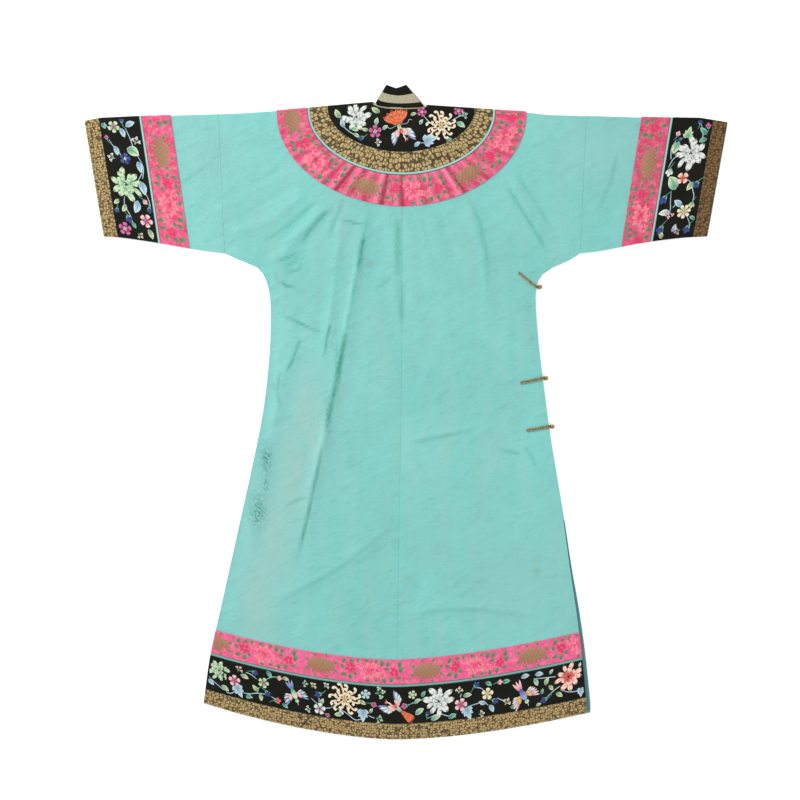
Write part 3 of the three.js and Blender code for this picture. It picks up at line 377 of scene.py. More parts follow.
# The same for the yoke, by distance from the centre seam and height
YOKE_WORK = [
    ("peony", -83, -15, 22, 10), ("leaf", -116, -9, 18, 120), ("leaf", -107, -26, 16, 100, "sky"),
    ("leaf", -86, -37, 15, -20, "mint"), ("blossom", -49, -41, 12, 20, "magenta", "rose"),
    ("leaf", -46, -23, 14, 80, "mint"), ("leaf", -67, -37, 12, 170), ("leaf", -31, -34, 12, 40, "mint"),
    ("bud", -70, -51, 9, 200), ("sprig", -50, -61, 10, 0, "leaf"), ("leaf", -48, -2, 17, 150),
    ("leaf", -83, -48, 12, -35), ("phoenix", -5, -35, 27, -72, 0.27),
    ("blossom", 35, -6, 9, 0, "magenta", "pink"), ("chrysanthemum", 69, -30, 25, 0),
    ("leaf", 34, -24, 11, 60, "mint"), ("ivy", 46, -57, 21, 20), ("leaf", 27, -64, 13, 40, "sky"),
    ("leaf", 105, -29, 17, -30, "mint"), ("blossom", 101, -4, 9, 0, "magenta", "rose"),
    ("leaf", 84, -56, 11, 30, "teal"), ("leaf", 20, -10, 11, 20),
    ("sprig", 106, -14, 10, 20, "teal", "mint"),
]
YOKE_STEMS = [
    [-112, -18, -104, -34, -88, -46, -74, -52], [-96, -24, -84, -34, -66, -36], [38, -12, 46, -22, 54, -28],
    [88, -22, 102, -14, 116, -10], [32, -62, 44, -60, 58, -52],
]
YOKE_FRONT_WORK = [
    ("peony", -84, -38, 26, 30, "coral", "red"), ("leaf", -112, -30, 20, 110),
    ("leaf", -96, -74, 20, -60, "mint"), ("blossom", -44, -92, 13, 0), ("leaf", -66, -86, 15, 160, "sky"),
    ("bud", -22, -110, 10, -30), ("chrysanthemum", 30, -99, 22, 0), ("leaf", 4, -104, 16, 20, "mint"),
    ("leaf", 60, -92, 18, 30, "teal"), ("peony", 84, -52, 25, 80, "mint", "leaf"),
    ("leaf", 104, -22, 18, 70, "sky"), ("bud", 84, -14, 11, 120, "magenta"), ("sprig", -80, -8, 12, 60),
    ("leaf", 66, -76, 14, 240),
]
YOKE_FRONT_STEMS = [
    [-104, -44, -98, -64, -80, -80, -56, -92, -28, -106], [52, -98, 72, -84, 86, -72],
    [96, -34, 104, -18, 96, -4],
]

# One repeat of the pink ribbon's figures: kind, distance along and across, size, direction, thread
RIBBON_REPEAT = 190.0
HEM_RIBBON_START, YOKE_RIBBON_START, CUFF_RIBBON_START = -336, -66, {-1: 58, 1: 76}
YOKE_RIBBON_WIDTH = 54
WOVEN_LEAVES = [
    (41, 37, 9, 60), (38, 26, 8, -40), (41, 12, 9, 20), (52, 9, 9, 80), (60, 16, 8, 120), (55, 38, 8, 10),
    (66, 39, 8, 70), (82, 40, 8, -20), (99, 40, 7, 30), (109, 37, 10, 80), (120, 36, 9, 60),
    (118, 27, 8, 10), (113, 7, 10, 100), (126, 8, 9, 80), (84, 4, 7, 0), (99, 6, 7, 20), (141, 36, 10, 90),
    (143, 26, 10, 70), (140, 12, 8, 10),
]
RIBBON_WORK = [
    ("woven_peony", 87, 22, 17, 0),
    ("petal_spray", 52, 25, 10, 20, "woven_rose"),
    ("petal_spray", 131, 21, 9, 10, "woven_rose"),
    ("petal_spray", 110, 15, 8, 40, "woven_pale"),
    ("petal_spray", 67, 33, 7, 0, "woven_pale"),
    *[("woven_leaf", *row) for row in WOVEN_LEAVES],
    ("lattice", 0, 22, 22, 0, "woven_brown"),
]

# Flat size of each cut piece in metres, and its area, and the flat length of each strip of trimming
CUTS = {
    "silk_length": (0.37, 2.24, 0.62), "silk_sleeve": (0.26, 0.5, 0.115), "silk_overlap": (0.36, 1.08, 0.28),
    "overlap_lining": (0.012, 0.34, 0.0016), "collar_stand": (0.05, 0.30, 0.0115),
    "collar_cream_ribbon": (0.018, 0.085, 0.0014),
}
HEM_LENGTH, CUFF_ROUND = 0.72, 0.5

# The yoke's rings: finish and slot, and the length of cloth round each
YOKE_FINISH = {
    "collar_piping": ("tan_piping", "collar_trim"),
    "yoke_black": ("satin_ground", "black_satin"),
    "yoke_gold": ("gold_yoke_cloth", "gold_brocade"),
    "yoke_piping": ("aqua_piping", "piping"),
    "yoke_pink": ("ribbon_ground", "pink_ribbon"),
}
YOKE_LENGTHS = {
    "collar_piping": 0.28, "yoke_black": 0.46, "yoke_gold": 0.76, "yoke_piping": 0.86, "yoke_pink": 1.0,
}

# ---------------------------------------------------------------- the stage, in metres
FLOOR_SIDE = 12.0
FLOOR_GAP = 0.0002
FLOOR_GLOW = 0.32
SENSOR = 36.0
VIEW_WIDTH = 1.44
VIEW_CENTRE = (-0.0108, 0.0216)
STUDIO_LIGHTS = [
    ("window", (-3.0, 1.8, 2.2), 1.2, 105.0),
    ("fill", (2.4, -0.6, 3.0), 2.4, 22.0),
]

# from the robe's own axes to the frame's
OVERLAP_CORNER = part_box("front_overlap")[0]
SHIFT = np.array([OVERLAP_CORNER[0] / MM - SEAM / 2, OVERLAP_CORNER[1] / MM + HEM_DEPTH, 0.0])


# ---------------------------------------------------------------- curves of the cut
def fade(value, low, high):
    t = np.clip((value - low) / (high - low), 0, 1)
    return t * t * (3 - 2 * t)


def lerp(a, b, t):
    return a + (b - a) * t


def read(table, column, at):
    """A column of a table at a place between its rows, along a smooth curve through them."""
    keys, values = table[:, 0], table[:, column]
    slopes = np.empty_like(values)
    slopes[1:-1] = (values[2:] - values[:-2]) / (keys[2:] - keys[:-2])
    slopes[0] = (values[1] - values[0]) / (keys[1] - keys[0])
    slopes[-1] = (values[-1] - values[-2]) / (keys[-1] - keys[-2])
    k = np.clip(np.searchsorted(keys, at) - 1, 0, len(keys) - 2)
    span = keys[k + 1] - keys[k]
    t = np.clip((at - keys[k]) / span, 0, 1)
    rise = (t**3 - 2 * t**2 + t) * slopes[k] + (t**3 - t**2) * slopes[k + 1]
    return lerp(values[k], values[k + 1], 3 * t**2 - 2 * t**3) + rise * span


def shoulder(x):
    return np.interp(x, SHOULDER[:, 0], SHOULDER[:, 1]) - FOLD_R - CLOTH / 2


def side_edge(side, below):
    return read(SIDES, 1 if side < 0 else 2, below)


def hem_below(x, above=0.0):
    """Depth of the hem, or of a line a given distance above it."""
    x = np.asarray(x, float)
    corner = np.where(x < 0, side_edge(-1, HEM_CORNER), side_edge(1, HEM_CORNER))
    rise = np.where(x < 0, HEM_RISE[-1], HEM_RISE[1])
    share = np.minimum(1, np.abs(x) / corner)
    return HEM_DEPTH - rise * share**HEM_CURVE - above * (1 + HEM_WIDER * x)


def near_path(path, x, below):
    """Distance to a path of x and depth in turn, and how far along it the nearest place is, from 0 to 1."""
    path = np.reshape(path, (-1, 2))
    away = np.full(np.shape(x), 1e9)
    along = np.zeros(np.shape(x))
    for k, ((ax, ay), (bx, by)) in enumerate(zip(path, path[1:])):
        t = ((x - ax) * (bx - ax) + (below - ay) * (by - ay)) / ((bx - ax) ** 2 + (by - ay) ** 2)
        t = np.clip(t, 0, 1)
        near = np.hypot(x - lerp(ax, bx, t), below - lerp(ay, by, t))
        along = np.where(near < away, (k + t) / (len(path) - 1), along)
        away = np.minimum(near, away)
    return away, along


def outside_yoke(x, below):
    left, right, back, _ = RINGS["yoke_pink"]
    wide = np.where(x < 0, left, right)
    return (np.hypot(x / wide, np.maximum(below, 0) / back) - 1) * np.minimum(wide, back)


def above_hem_bands(x, below):
    return hem_below(x, HEM_STACK) - below


def crease(x, below, column):
    """The deepest of the creases at a place, read from one of their columns: 1 is depth and 3 is painted
    darkness, partly wear and partly shade.
    """
    level = np.zeros(np.shape(x))
    for row in CREASES:
        away, along = near_path(row[0], x, below)
        ends = fade(along, 0, 0.25) * (1 - fade(along, 0.7, 1))
        level = np.maximum(level, row[column] * ends * np.exp(-((away / row[2]) ** 2)))
    return level


def lift(x, below):
    """How much folds, creases and swells lift the back."""
    high = np.zeros(np.shape(x))
    low = np.zeros(np.shape(x))
    for path, height, half in FOLDS:
        away, along = near_path(path, x, below)
        ends = fade(along, 0, 0.2) * (1 - fade(along, 0.75, 1))
        form = FOLD_SHARE * height * ends * (1 - np.minimum(away / half, 1)) ** 1.7
        if height > 0:
            high = np.maximum(high, form)
        else:
            low = np.minimum(low, form)
    swell = sum(h * np.sin(2 * np.pi * (x / a + below / b) + p) for a, b, p, h in SWELLS)
    total = high + np.where(high + low > 0, low, 0) + 0.5 * (swell + 0.9) - crease(x, below, 1)
    # soft gathers that spread from the yoke, where the silk is eased into it
    turn, far = np.arctan2(below, x), outside_yoke(x, below)
    eased = sum(h * np.sin(count * turn + p) for count, p, h in GATHERS)
    total = total + eased * np.exp(-np.maximum(far, 0) / EASED_REACH)
    # small gathers along the centre seam, where its stitches draw the silk up
    seam = np.abs(x + seam_stray(below))
    gathers = SEAM_GATHER * np.sin(2 * np.pi * below / SEAM_SPACING + 1.3 * np.sin(below / 41))
    drawn = gathers * np.exp(-seam / SEAM_REACH) - SEAM_GROOVE * np.exp(-((seam / GROOVE_HALF) ** 2))
    total = total + drawn * (below > SEAM_START)
    flat = fade(outside_yoke(x, below) - FLAT_MARGIN, 0, FLAT_FADE)
    flat = flat * fade(above_hem_bands(x, below), 4, 40)
    cuff = CUFF_BOTTOM[1] - CUFF_STACK
    return total * flat * (1 - fade(np.abs(x), cuff - 40, cuff))


def seam_stray(below):
    return SEAM_DRIFT * fade(below, UNDERARM, HEM_DEPTH)


EDGE_FALL = {-1: BACK_LOW - FRONT_LOW - CLOTH - SEAM, 1: BACK_LOW - INNER_LOW - CLOTH - SEAM}
EDGE_WIDTH = 30.0
SLEEVE_FRONT_ROWS = 7
EDGE_ROUNDING = 0.3  # how far a wall's faces stop short of its edge, as a share of its thickness
SEWN_ROUNDING = 0.1
UP = np.array([0.0, 0.0, 1.0])


def back_z(x, y):
    """Height of the middle of the back's wall, over the body and the sleeves."""
    below = -y
    x = np.asarray(x, float)
    on_sleeve = np.abs(x) > SLEEVE_BOTTOM
    inward = np.where(x < 0, side_edge(-1, below), side_edge(1, below)) - np.abs(x)
    under = np.where(x < 0, read(UNDER_SLEEVE[-1], 1, np.abs(x)), read(UNDER_SLEEVE[1], 1, np.abs(x)))
    body_sink = (1 - fade(inward, 0, EDGE_WIDTH)) * (1 - fade(UNDERARM - below, 0, EDGE_WIDTH))
    sleeve_sink = 1 - fade(under - below, 0, EDGE_WIDTH)
    along = (CUFF_BOTTOM[1] - np.abs(x)) / (CUFF_BOTTOM[1] - SLEEVE_BOTTOM)
    right_fall = np.where(on_sleeve, lerp(EDGE_FALL[-1], EDGE_FALL[1], fade(along, 0.5, 1)), EDGE_FALL[1])
    fall = np.where(x < 0, EDGE_FALL[-1], right_fall)
    sink = fall * np.where(on_sleeve, sleeve_sink, body_sink)
    return BACK_MID - sink + lift(x, below) * (1 - 0.8 * np.where(on_sleeve, sleeve_sink, body_sink))


# ---------------------------------------------------------------- meshes
def metres(points):
    return (np.asarray(points, float) + SHIFT) * MM


def add_object(name, data, place=(0, 0, 0)):
    item = bpy.data.objects.new(name, data)
    item.location = place
    bpy.context.scene.collection.objects.link(item)
    return item


def make_object(name, points, faces, material, uv=None, colours=None, smooth_angle=40):
    """An object from points in robe millimetres. uv is one pair a point, and colours one RGB a point."""
    mesh = bpy.data.meshes.new(name)
    mesh.from_pydata(metres(points).tolist(), [], faces)
    corner = np.empty(len(mesh.loops), np.int32)
    mesh.loops.foreach_get("vertex_index", corner)
    if uv is not None:
        layer = mesh.uv_layers.new(name="Weave")
        layer.uv.foreach_set("vector", np.asarray(uv, np.float32)[corner].ravel())
    if colours is not None:
        add_colours(mesh, "Thread", colours, np.ones(len(points)))
    mesh.materials.append(finish(material))
    mesh.polygons.foreach_set("use_smooth", np.ones(len(mesh.polygons), bool))
    mesh.set_sharp_from_angle(angle=math.radians(smooth_angle))
    mesh.validate()
    mesh.update()
    return add_object(name, mesh)


def add_colours(mesh, name, colours, alpha):
    """A named layer of colours, one a point."""
    layer = mesh.color_attributes.new(name=name, type="FLOAT_COLOR", domain="POINT")
    layer.data.foreach_set("color", np.column_stack([colours, alpha]).astype(np.float32).ravel())


def finish_piece(piece, slot, *nodes):
    """The piece rides on the robe and hides the CAD nodes that it stands for. slot is not used."""
    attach(piece, "root")
    if nodes:
        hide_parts(*nodes)


def strip_cut(width, length):
    """Flat size and area of a strip this many millimetres wide. A piping is cut wider and turned under."""
    if width < NARROWEST_CUT:
        return NARROWEST_CUT * MM, length, (width + TRIM) * MM * length
    return width * MM, length, None


def wall(grid, inner, outer, uv=None, keep=None, ring=False, normal=None, rounding=EDGE_ROUNDING):
    """A closed wall about a grid of points, with rounded edges. Columns crossed with rows point out of it."""
    n, m, _ = grid.shape
    if normal is None:
        across = np.roll(grid, -1, 0) - np.roll(grid, 1, 0) if ring else np.gradient(grid, axis=0)
        normal = np.cross(across, np.gradient(grid, axis=1))
        normal /= np.linalg.norm(normal, axis=2, keepdims=True)
    normal = np.broadcast_to(normal, grid.shape).reshape(-1, 3)
    outside = grid.reshape(-1, 3) + normal * np.broadcast_to(outer, (n, m)).reshape(-1, 1)
    inside = grid.reshape(-1, 3) + normal * np.broadcast_to(inner, (n, m)).reshape(-1, 1)
    cells = n if ring else n - 1
    kept = np.ones((cells, m - 1), bool) if keep is None else keep[:cells, : m - 1]
    i, j = np.nonzero(kept)
    number = np.arange(n * m).reshape(n, m)
    i2 = (i + 1) % n
    a, b, c, d = number[i, j], number[i2, j], number[i2, j + 1], number[i, j + 1]
    around = np.pad(kept, 1)
    if ring:
        around[0, 1:-1], around[-1, 1:-1] = kept[-1], kept[0]
    edges = []
    for di, dj, first, last in ((0, -1, a, b), (1, 0, b, c), (0, 1, c, d), (-1, 0, d, a)):
        bare = ~around[i + 1 + di, j + 1 + dj]
        edges.append(np.stack([first[bare], last[bare]], 1))
    e0, e1 = np.concatenate(edges).T
    away = np.cross(outside[e1] - outside[e0], normal[e0])
    away /= np.maximum(np.linalg.norm(away, axis=1, keepdims=True), 1e-9)
    push = np.zeros_like(outside)
    np.add.at(push, e0, away)
    np.add.at(push, e1, away)
    rim = np.unique(np.concatenate([e0, e1]))
    push = push[rim] / np.maximum(np.linalg.norm(push[rim], axis=1, keepdims=True), 1e-9)
    middle = (outside[rim] + inside[rim]) / 2
    draw = push * np.linalg.norm(outside[rim] - inside[rim], axis=1, keepdims=True) * rounding
    outside[rim] -= draw
    inside[rim] -= draw
    place = np.zeros(n * m, int)
    place[rim] = 2 * n * m + np.arange(len(rim))
    faces = np.concatenate([
        np.stack([a, b, c, d], 1),
        np.stack([d, c, b, a], 1) + n * m,
        np.stack([e1, e0, place[e0], place[e1]], 1),
        np.stack([place[e1], place[e0], e0 + n * m, e1 + n * m], 1),
    ])
    points = np.concatenate([outside, inside, middle])
    used = np.unique(faces)
    renumber = np.zeros(len(points), int)
    renumber[used] = np.arange(len(used))
    if uv is not None:
        flat_uv = uv.reshape(-1, 2)
        uv = np.concatenate([flat_uv, flat_uv, flat_uv[rim]])[used]
    return points[used], renumber[faces].tolist(), uv


def fold_points(x, y):
    """Points of a shoulder fold over the line at x and y, from the back to the front."""
    angles = np.radians(FOLD_TURNS)
    rounds = [np.stack([x, y + FOLD_R * np.cos(t), np.full(np.shape(x), FOLD_Z + FOLD_R * np.sin(t))], -1)
              for t in angles]
    return np.stack(rounds, 1)


def make_sheet(name, grid, low, high, finish_name, slot, node, cut, rests_on, across_first=False, **form):
    """A wall of cloth about a grid, for a CAD node. cut, its flat size in metres and its area, is not used.
    """
    silk = finish_name == "dyed_silk"
    uv = None if silk else grid_uv(grid, across_first)
    points, faces, uv = wall(grid, low, high, uv, **form)
    piece = make_object(name, points, faces, finish_name, uv)
    if silk:
        # darkness painted along the creases: partly worn silk, partly painted shade
        crease_shade_and_wear = crease(points[:, 0], -points[:, 1], 3) * (points[:, 2] > UPPER_LAYER)
        add_colours(piece.data, "WearAndShade", wear_colours(points), crease_shade_and_wear)
    # the yoke's ribbon gets painted shade and highlights beside its puckers
    elif name == "yoke_pink_ring":
        add_colours(piece.data, "WearAndShade", pucker_shading(points), np.ones(len(points)))
    finish_piece(piece, slot, node)


# ---------------------------------------------------------------- materials
class Shader:
    """Builds one material's nodes."""

    def __init__(self, name):
        self.material = bpy.data.materials.new(name)
        self.material.use_nodes = True
        self.tree = self.material.node_tree
        self.surface = self.tree.nodes["Principled BSDF"]

    def add(self, kind, **values):
        """A node. A value that is a socket is linked, and any other is set; Name__2 is the third Name."""
        node = self.tree.nodes.new(kind)
        for key, value in values.items():
            name, _, which = key.partition("__")
            if hasattr(node, name) and name not in node.inputs:
                setattr(node, name, value)
                continue
            sockets = [s for s in node.inputs if s.name.replace(" ", "_") == name]
            self.put(value, sockets[int(which or 0)])
        return node

    def put(self, value, socket):
        if isinstance(value, bpy.types.NodeSocket):
            self.tree.links.new(value, socket)
        else:
            socket.default_value = value

    def math(self, operation, a, b=0.5, c=0.0):
        return self.add("ShaderNodeMath", operation=operation, Value=a, Value__1=b, Value__2=c).outputs[0]

    def times(self, a, b):
        return self.math("MULTIPLY", a, b)

    def mix(self, share, a, b, blend="MIX"):
        a, b = (c if isinstance(c, bpy.types.NodeSocket) else (*c[:3], 1.0) for c in (a, b))
        node = self.add("ShaderNodeMix", data_type="RGBA", blend_type=blend, Factor=share, A__2=a, B__2=b)
        return node.outputs[2]

    def shaded(self, colour, tone):
        """A colour made darker or lighter by a tone."""
        grey = self.add("ShaderNodeCombineColor", Red=tone, Green=tone, Blue=tone)
        return self.mix(1.0, colour, grey.outputs[0], "MULTIPLY")

    def channels(self, colour):
        """The red, green and blue of a colour."""
        return self.add("ShaderNodeSeparateColor", Color=colour).outputs

    def ramp(self, value, low, high):
        return self.add("ShaderNodeMapRange", Value=value, From_Min=low, From_Max=high).outputs["Result"]

    def noise(self, vector, scale, detail=3.0, roughness=0.55):
        node = self.add("ShaderNodeTexNoise", Vector=vector, Scale=scale, Detail=detail, Roughness=roughness)
        return node.outputs["Fac"]

    def grain(self, place, x, y, detail=3.0, roughness=0.55):
        """Noise stretched by how many times it repeats along x and along y."""
        stretched = self.add("ShaderNodeMapping", Vector=place, Scale=(x, y, 1.0)).outputs["Vector"]
        return self.noise(stretched, 1.0, detail, roughness)

    def bump(self, height, distance, strength=1.0, below=None):
        node = self.add("ShaderNodeBump", Height=height, Distance=distance, Strength=strength)
        if below is not None:
            self.put(below, node.inputs["Normal"])
        return node.outputs["Normal"]

    def object_place(self):
        return self.add("ShaderNodeTexCoord").outputs["Object"]

    def weave_place(self):
        return self.add("ShaderNodeUVMap", uv_map="Weave").outputs["UV"]

    def along(self, place):
        """The first measure of a place."""
        return self.add("ShaderNodeSeparateXYZ", Vector=place).outputs[0]

    def colour_layer(self, name):
        return self.add("ShaderNodeAttribute", attribute_name=name)

    def done(self, colour, roughness, normal=None, **sockets):
        self.put(colour, self.surface.inputs["Base Color"])
        self.put(roughness, self.surface.inputs["Roughness"])
        if normal is not None:
            self.put(normal, self.surface.inputs["Normal"])
        for key, value in sockets.items():
            self.surface.inputs[key.replace("_", " ")].default_value = value
        return self.material


def dye(look, colour):
    """The colour of a setting by its name, or a display colour of 0 to 255 a channel."""
    return getattr(look, colour) if isinstance(colour, str) else linear(*colour)


def silk_material(name, look):
    """Plain silk: fine weft ribs, slubs, slanting crinkles darkened with painted shade, its fading, stains
    and scuffs, and creases darkened partly by wear and partly by painted shade.
    """
    s = Shader(name)
    place = s.object_place()
    wear_and_shade = s.colour_layer("WearAndShade")
    faded, stained, scuffed = s.channels(wear_and_shade.outputs["Color"])
    turned = s.add("ShaderNodeVectorRotate", rotation_type="Z_AXIS", Vector=place, Angle=CRINKLE_SLANT)
    slanted = turned.outputs[0]
    slubs = s.grain(place, 28, 330, 5.0, 0.65)
    crinkles = s.grain(slanted, 20, 85, 6.0, 0.68)
    patchy = s.noise(place, 38.0, 5.0, 0.65)
    tone = s.math("MULTIPLY_ADD", slubs, 0.22, 0.66)
    # the crinkles also darken the colour: painted shade in the silk's small wrinkles
    tone = s.math("MULTIPLY_ADD", s.ramp(crinkles, 0.54, 0.70), -0.13, tone)
    warp, cloud, streaks = s.grain(place, 700, 9), s.noise(place, 6.0, 4.0), s.grain(place, 60, 5, 4.0)
    for noise, share in ((warp, 0.05), (cloud, 0.28), (patchy, 0.16), (streaks, 0.06)):
        tone = s.math("MULTIPLY_ADD", noise, share, tone)
    colour = s.shaded(look.silk, tone)
    washed = s.times(s.ramp(s.grain(place, 20, 5, 5.0, 0.65), 0.42, 0.72), 0.4)
    fading = s.math("MAXIMUM", s.times(faded, s.ramp(patchy, -0.5, 0.9)), washed)
    colour = s.mix(fading, colour, look.silk_faded)
    grime = s.times(s.times(stained, s.ramp(patchy, 0.35, 0.6)), 0.45)
    colour = s.mix(grime, colour, linear(120, 128, 92))
    bare = s.times(s.times(scuffed, s.ramp(s.grain(slanted, 340, 130, 5.0, 0.7), 0.44, 0.55)), 0.8)
    colour = s.mix(bare, colour, linear(38, 112, 100))
    # painted along the creases: partly worn silk, partly painted shade
    crease_shade_and_wear = s.times(wear_and_shade.outputs["Alpha"], s.ramp(patchy, 0.1, 0.6))
    colour = s.mix(crease_shade_and_wear, colour, linear(34, 138, 118))
    ribs = s.add("ShaderNodeTexWave", bands_direction="Y", Vector=place, Scale=420.0, Distortion=0.6,
                 Detail=1.0)
    rumples = s.bump(s.grain(place, 30, 13, 5.0, 0.6), 0.006, 0.3)
    fine = s.bump(ribs.outputs["Fac"], 0.00012, 0.5, s.bump(crinkles, 0.004, 0.4, rumples))
    return s.done(colour, s.ramp(slubs, -1.4, 3.0), s.bump(slubs, 0.0003, 0.35, fine), Sheen_Weight=0.15,
                  Sheen_Roughness=0.4, Specular_IOR_Level=0.35)


def satin_material(name, look):
    """Black satin with long warp floats."""
    s = Shader(name)
    place = s.object_place()
    floats = s.grain(place, 900, 60)
    colour = s.mix(s.ramp(s.noise(place, 25.0), 0.4, 0.8), look.black, linear(26, 25, 19))
    return s.done(colour, s.ramp(floats, -1.6, 2.0), s.bump(floats, 0.0002, 0.4), Sheen_Weight=0.02,
                  Specular_IOR_Level=0.11)


def brocade_material(name, look, gold, pale, dark_thread, scale):
    """Brocade: gold threads over a dark network of small rounded cells with a flower in some."""
    gold, pale, dark_thread = (dye(look, colour) for colour in (gold, pale, dark_thread))
    s = Shader(name)
    place = s.weave_place()
    far = {}
    for feature in ("DISTANCE_TO_EDGE", "F1"):
        cells = s.add("ShaderNodeTexVoronoi", feature=feature, Vector=place, Scale=scale, Randomness=0.6)
        far[feature] = cells.outputs["Distance"]
    net = s.math("MAXIMUM", s.ramp(far["DISTANCE_TO_EDGE"], 0.13, 0.04), s.ramp(far["F1"], 0.50, 0.64))
    bud = s.times(s.ramp(far["F1"], 0.16, 0.06), 0.7)
    threads = s.grain(place, 14, 90, 4.0, 0.6)
    worn = s.noise(place, 0.55, 4.0, 0.6)
    dark = s.times(s.math("MAXIMUM", net, bud), s.ramp(threads, 0.1, 0.5))
    ground = s.mix(s.ramp(threads, 0.35, 0.7), gold, pale)
    ground = s.mix(s.times(s.ramp(worn, 0.45, 0.75), 0.3), ground, dark_thread)
    height = s.math("SUBTRACT", s.times(threads, 0.5), dark)
    return s.done(s.mix(dark, ground, dark_thread), 0.6, s.bump(height, 0.0005, 0.7), Metallic=0.15,
                  Specular_IOR_Level=0.4)


def ribbon_material(name, look, tint=None, share=0.0):
    """Pink ribbon with tone-on-tone blossoms, painted shade in the furrows beside its puckers and painted
    highlights on their crests. A tint shifts its pink.
    """
    s = Shader(name)
    place = s.weave_place()
    cloud = s.noise(place, 0.45, 5.0, 0.7)
    petals = s.noise(place, 1.3, 3.0, 0.65)
    threads = s.grain(place, 6, 60)
    colour = s.mix(s.ramp(cloud, 0.38, 0.62), look.pink, look.pink_deep)
    colour = s.mix(s.times(s.ramp(petals, 0.50, 0.62), 0.55), colour, look.pink_pale)
    colour = s.mix(s.times(s.ramp(threads, 0.4, 0.9), 0.30), colour, look.pink_pale)
    if tint:
        colour = s.mix(s.math("MULTIPLY_ADD", cloud, 0.2, share - 0.1), colour, dye(look, tint))
    furrow_shade, crest_highlight, _ = s.channels(s.colour_layer("WearAndShade").outputs["Color"])
    # painted highlight on each pucker's crest, painted shade in the furrow beside it
    colour = s.mix(s.times(crest_highlight, 0.5), colour, linear(246, 150, 182))
    colour = s.mix(s.times(furrow_shade, 0.85), colour, linear(150, 12, 44))
    return s.done(colour, 0.6, s.bump(threads, 0.0003, 0.6), Sheen_Weight=0.15, Specular_IOR_Level=0.25)


def thread_material(name, look, sheen, roughness, stitch):
    """Silk thread in satin stitch: the colour of each point, with fine parallel stitches along it."""
    s = Shader(name)
    place = s.weave_place()
    across = s.math("SINE", s.times(s.along(place), 2 * math.pi * 10 / stitch))
    uneven = s.grain(place, 26, 3, 2.0)
    colour = s.shaded(s.colour_layer("Thread").outputs["Color"], s.math("MULTIPLY_ADD", uneven, 0.5, 0.72))
    height = s.math("MULTIPLY_ADD", across, 0.5, uneven)
    normal = s.bump(height, 0.00012, 0.6)
    return s.done(colour, roughness, normal, Sheen_Weight=sheen, Specular_IOR_Level=0.45)


def twill_material(name, look, colour, second, across, width=0.0):
    """Narrow corded cloth, such as piping. Given a width in centimetres, its two edges get painted shade,
    where a round cord turns away from the light.
    """
    s = Shader(name)
    place = s.weave_place()
    ribs = s.grain(place, across, 2, 2.0)
    tint = s.mix(s.ramp(ribs, 0.3, 0.75), dye(look, colour), dye(look, second))
    if width:
        # painted shade on both edges of the rounded piping
        off_crown = s.math("ABSOLUTE", s.math("SUBTRACT", s.along(place), width / 2))
        tint = s.mix(s.ramp(off_crown, 0.28 * width, 0.42 * width), tint, linear(60, 100, 94))
    return s.done(tint, 0.6, s.bump(ribs, 0.0003, 0.6), Sheen_Weight=0.2, Specular_IOR_Level=0.35)


def brass_material(name, look):
    s = Shader(name)
    tarnish = s.noise(s.object_place(), 420.0, 4.0)
    colour = s.mix(s.ramp(tarnish, 0.35, 0.7), look.brass, linear(108, 82, 40))
    return s.done(colour, s.ramp(tarnish, -0.4, 2.0), s.bump(tarnish, 0.0002, 0.4), Metallic=1.0)


# A maker for each finish, and what it is given. Colours are settings' names or 0 to 255 a channel.
FINISHES = {
    "dyed_silk": (silk_material,),
    "satin_ground": (satin_material,),
    "aged_brass": (brass_material,),
    # gold, pale and dark threads, and cells a centimetre
    "gold_cloth": (brocade_material, "gold", (206, 182, 122), (72, 52, 30), 2.2),
    "gold_yoke_cloth": (brocade_material, "gold", (210, 188, 130), (60, 44, 22), 1.85),
    "brown_cloth": (brocade_material, (112, 82, 42), (150, 116, 62), (58, 38, 18), 2.0),
    # a tint over the pink, and its share
    "ribbon_ground": (ribbon_material,),
    "hem_ribbon": (ribbon_material, (248, 112, 172), 0.26),
    "dull_ribbon": (ribbon_material, (150, 50, 54), 0.18),
    # sheen, roughness, and a stitch's width in millimetres
    "embroidery_silk": (thread_material, 0.2, 0.42, 0.5),
    "ribbon_figures": (thread_material, 0.1, 0.6, 0.8),
    # two colours, how fine the ribs are, and the width of a piping in centimetres, whose edges get painted
    # shade
    "aqua_piping": (twill_material, "piping", (128, 190, 182), 30.0, 0.47),
    "hem_cord": (twill_material, (118, 172, 162), (96, 158, 148), 30.0, 0.47),
    "tan_piping": (twill_material, (150, 118, 70), (205, 178, 120), 60.0),
    "collar_ribbon": (twill_material, (186, 180, 154), (128, 124, 100), 14.0),
    "teal_lining": (twill_material, "lining", (70, 110, 116), 8.0),
    "bound_cord": (twill_material, (46, 54, 38), (190, 166, 120), 3.6),
}


def finish(name):
    """A finish by name, made when it is first asked for."""
    make, *values = FINISHES[name]
    return bpy.data.materials.get(name) or make(name, bpy.context.scene.robe_colours, *values)


# ---------------------------------------------------------------- the lengths of cloth
def wear_colours(points):
    """Fading, stains and scuffs at each point, as red, green and blue."""
    x, below = points[:, 0], -points[:, 1]
    upper = points[:, 2] > UPPER_LAYER
    layers = []
    for table in (FADED, STAINED, SCUFFED):
        level = np.zeros(len(points))
        for cx, cy, rx, ry, strength in table:
            level = np.maximum(level, strength * np.exp(-(((x - cx) / rx) ** 2 + ((below - cy) / ry) ** 2)))
        layers.append(np.where(upper, level, 0.1))
    return np.stack(layers, 1)


def top_of(side, x, front):
    """Height of the cloth's top: the shoulder fold, or the neckline between its two ends."""
    half = NECK[side]
    middle = -NECK_FRONT if front else -NECK_BACK
    inside = lerp(shoulder(side * half), middle, np.sqrt(np.clip(1 - (x / half) ** 2, 0, 1)))
    return np.where(np.abs(x) >= half, shoulder(x), inside)


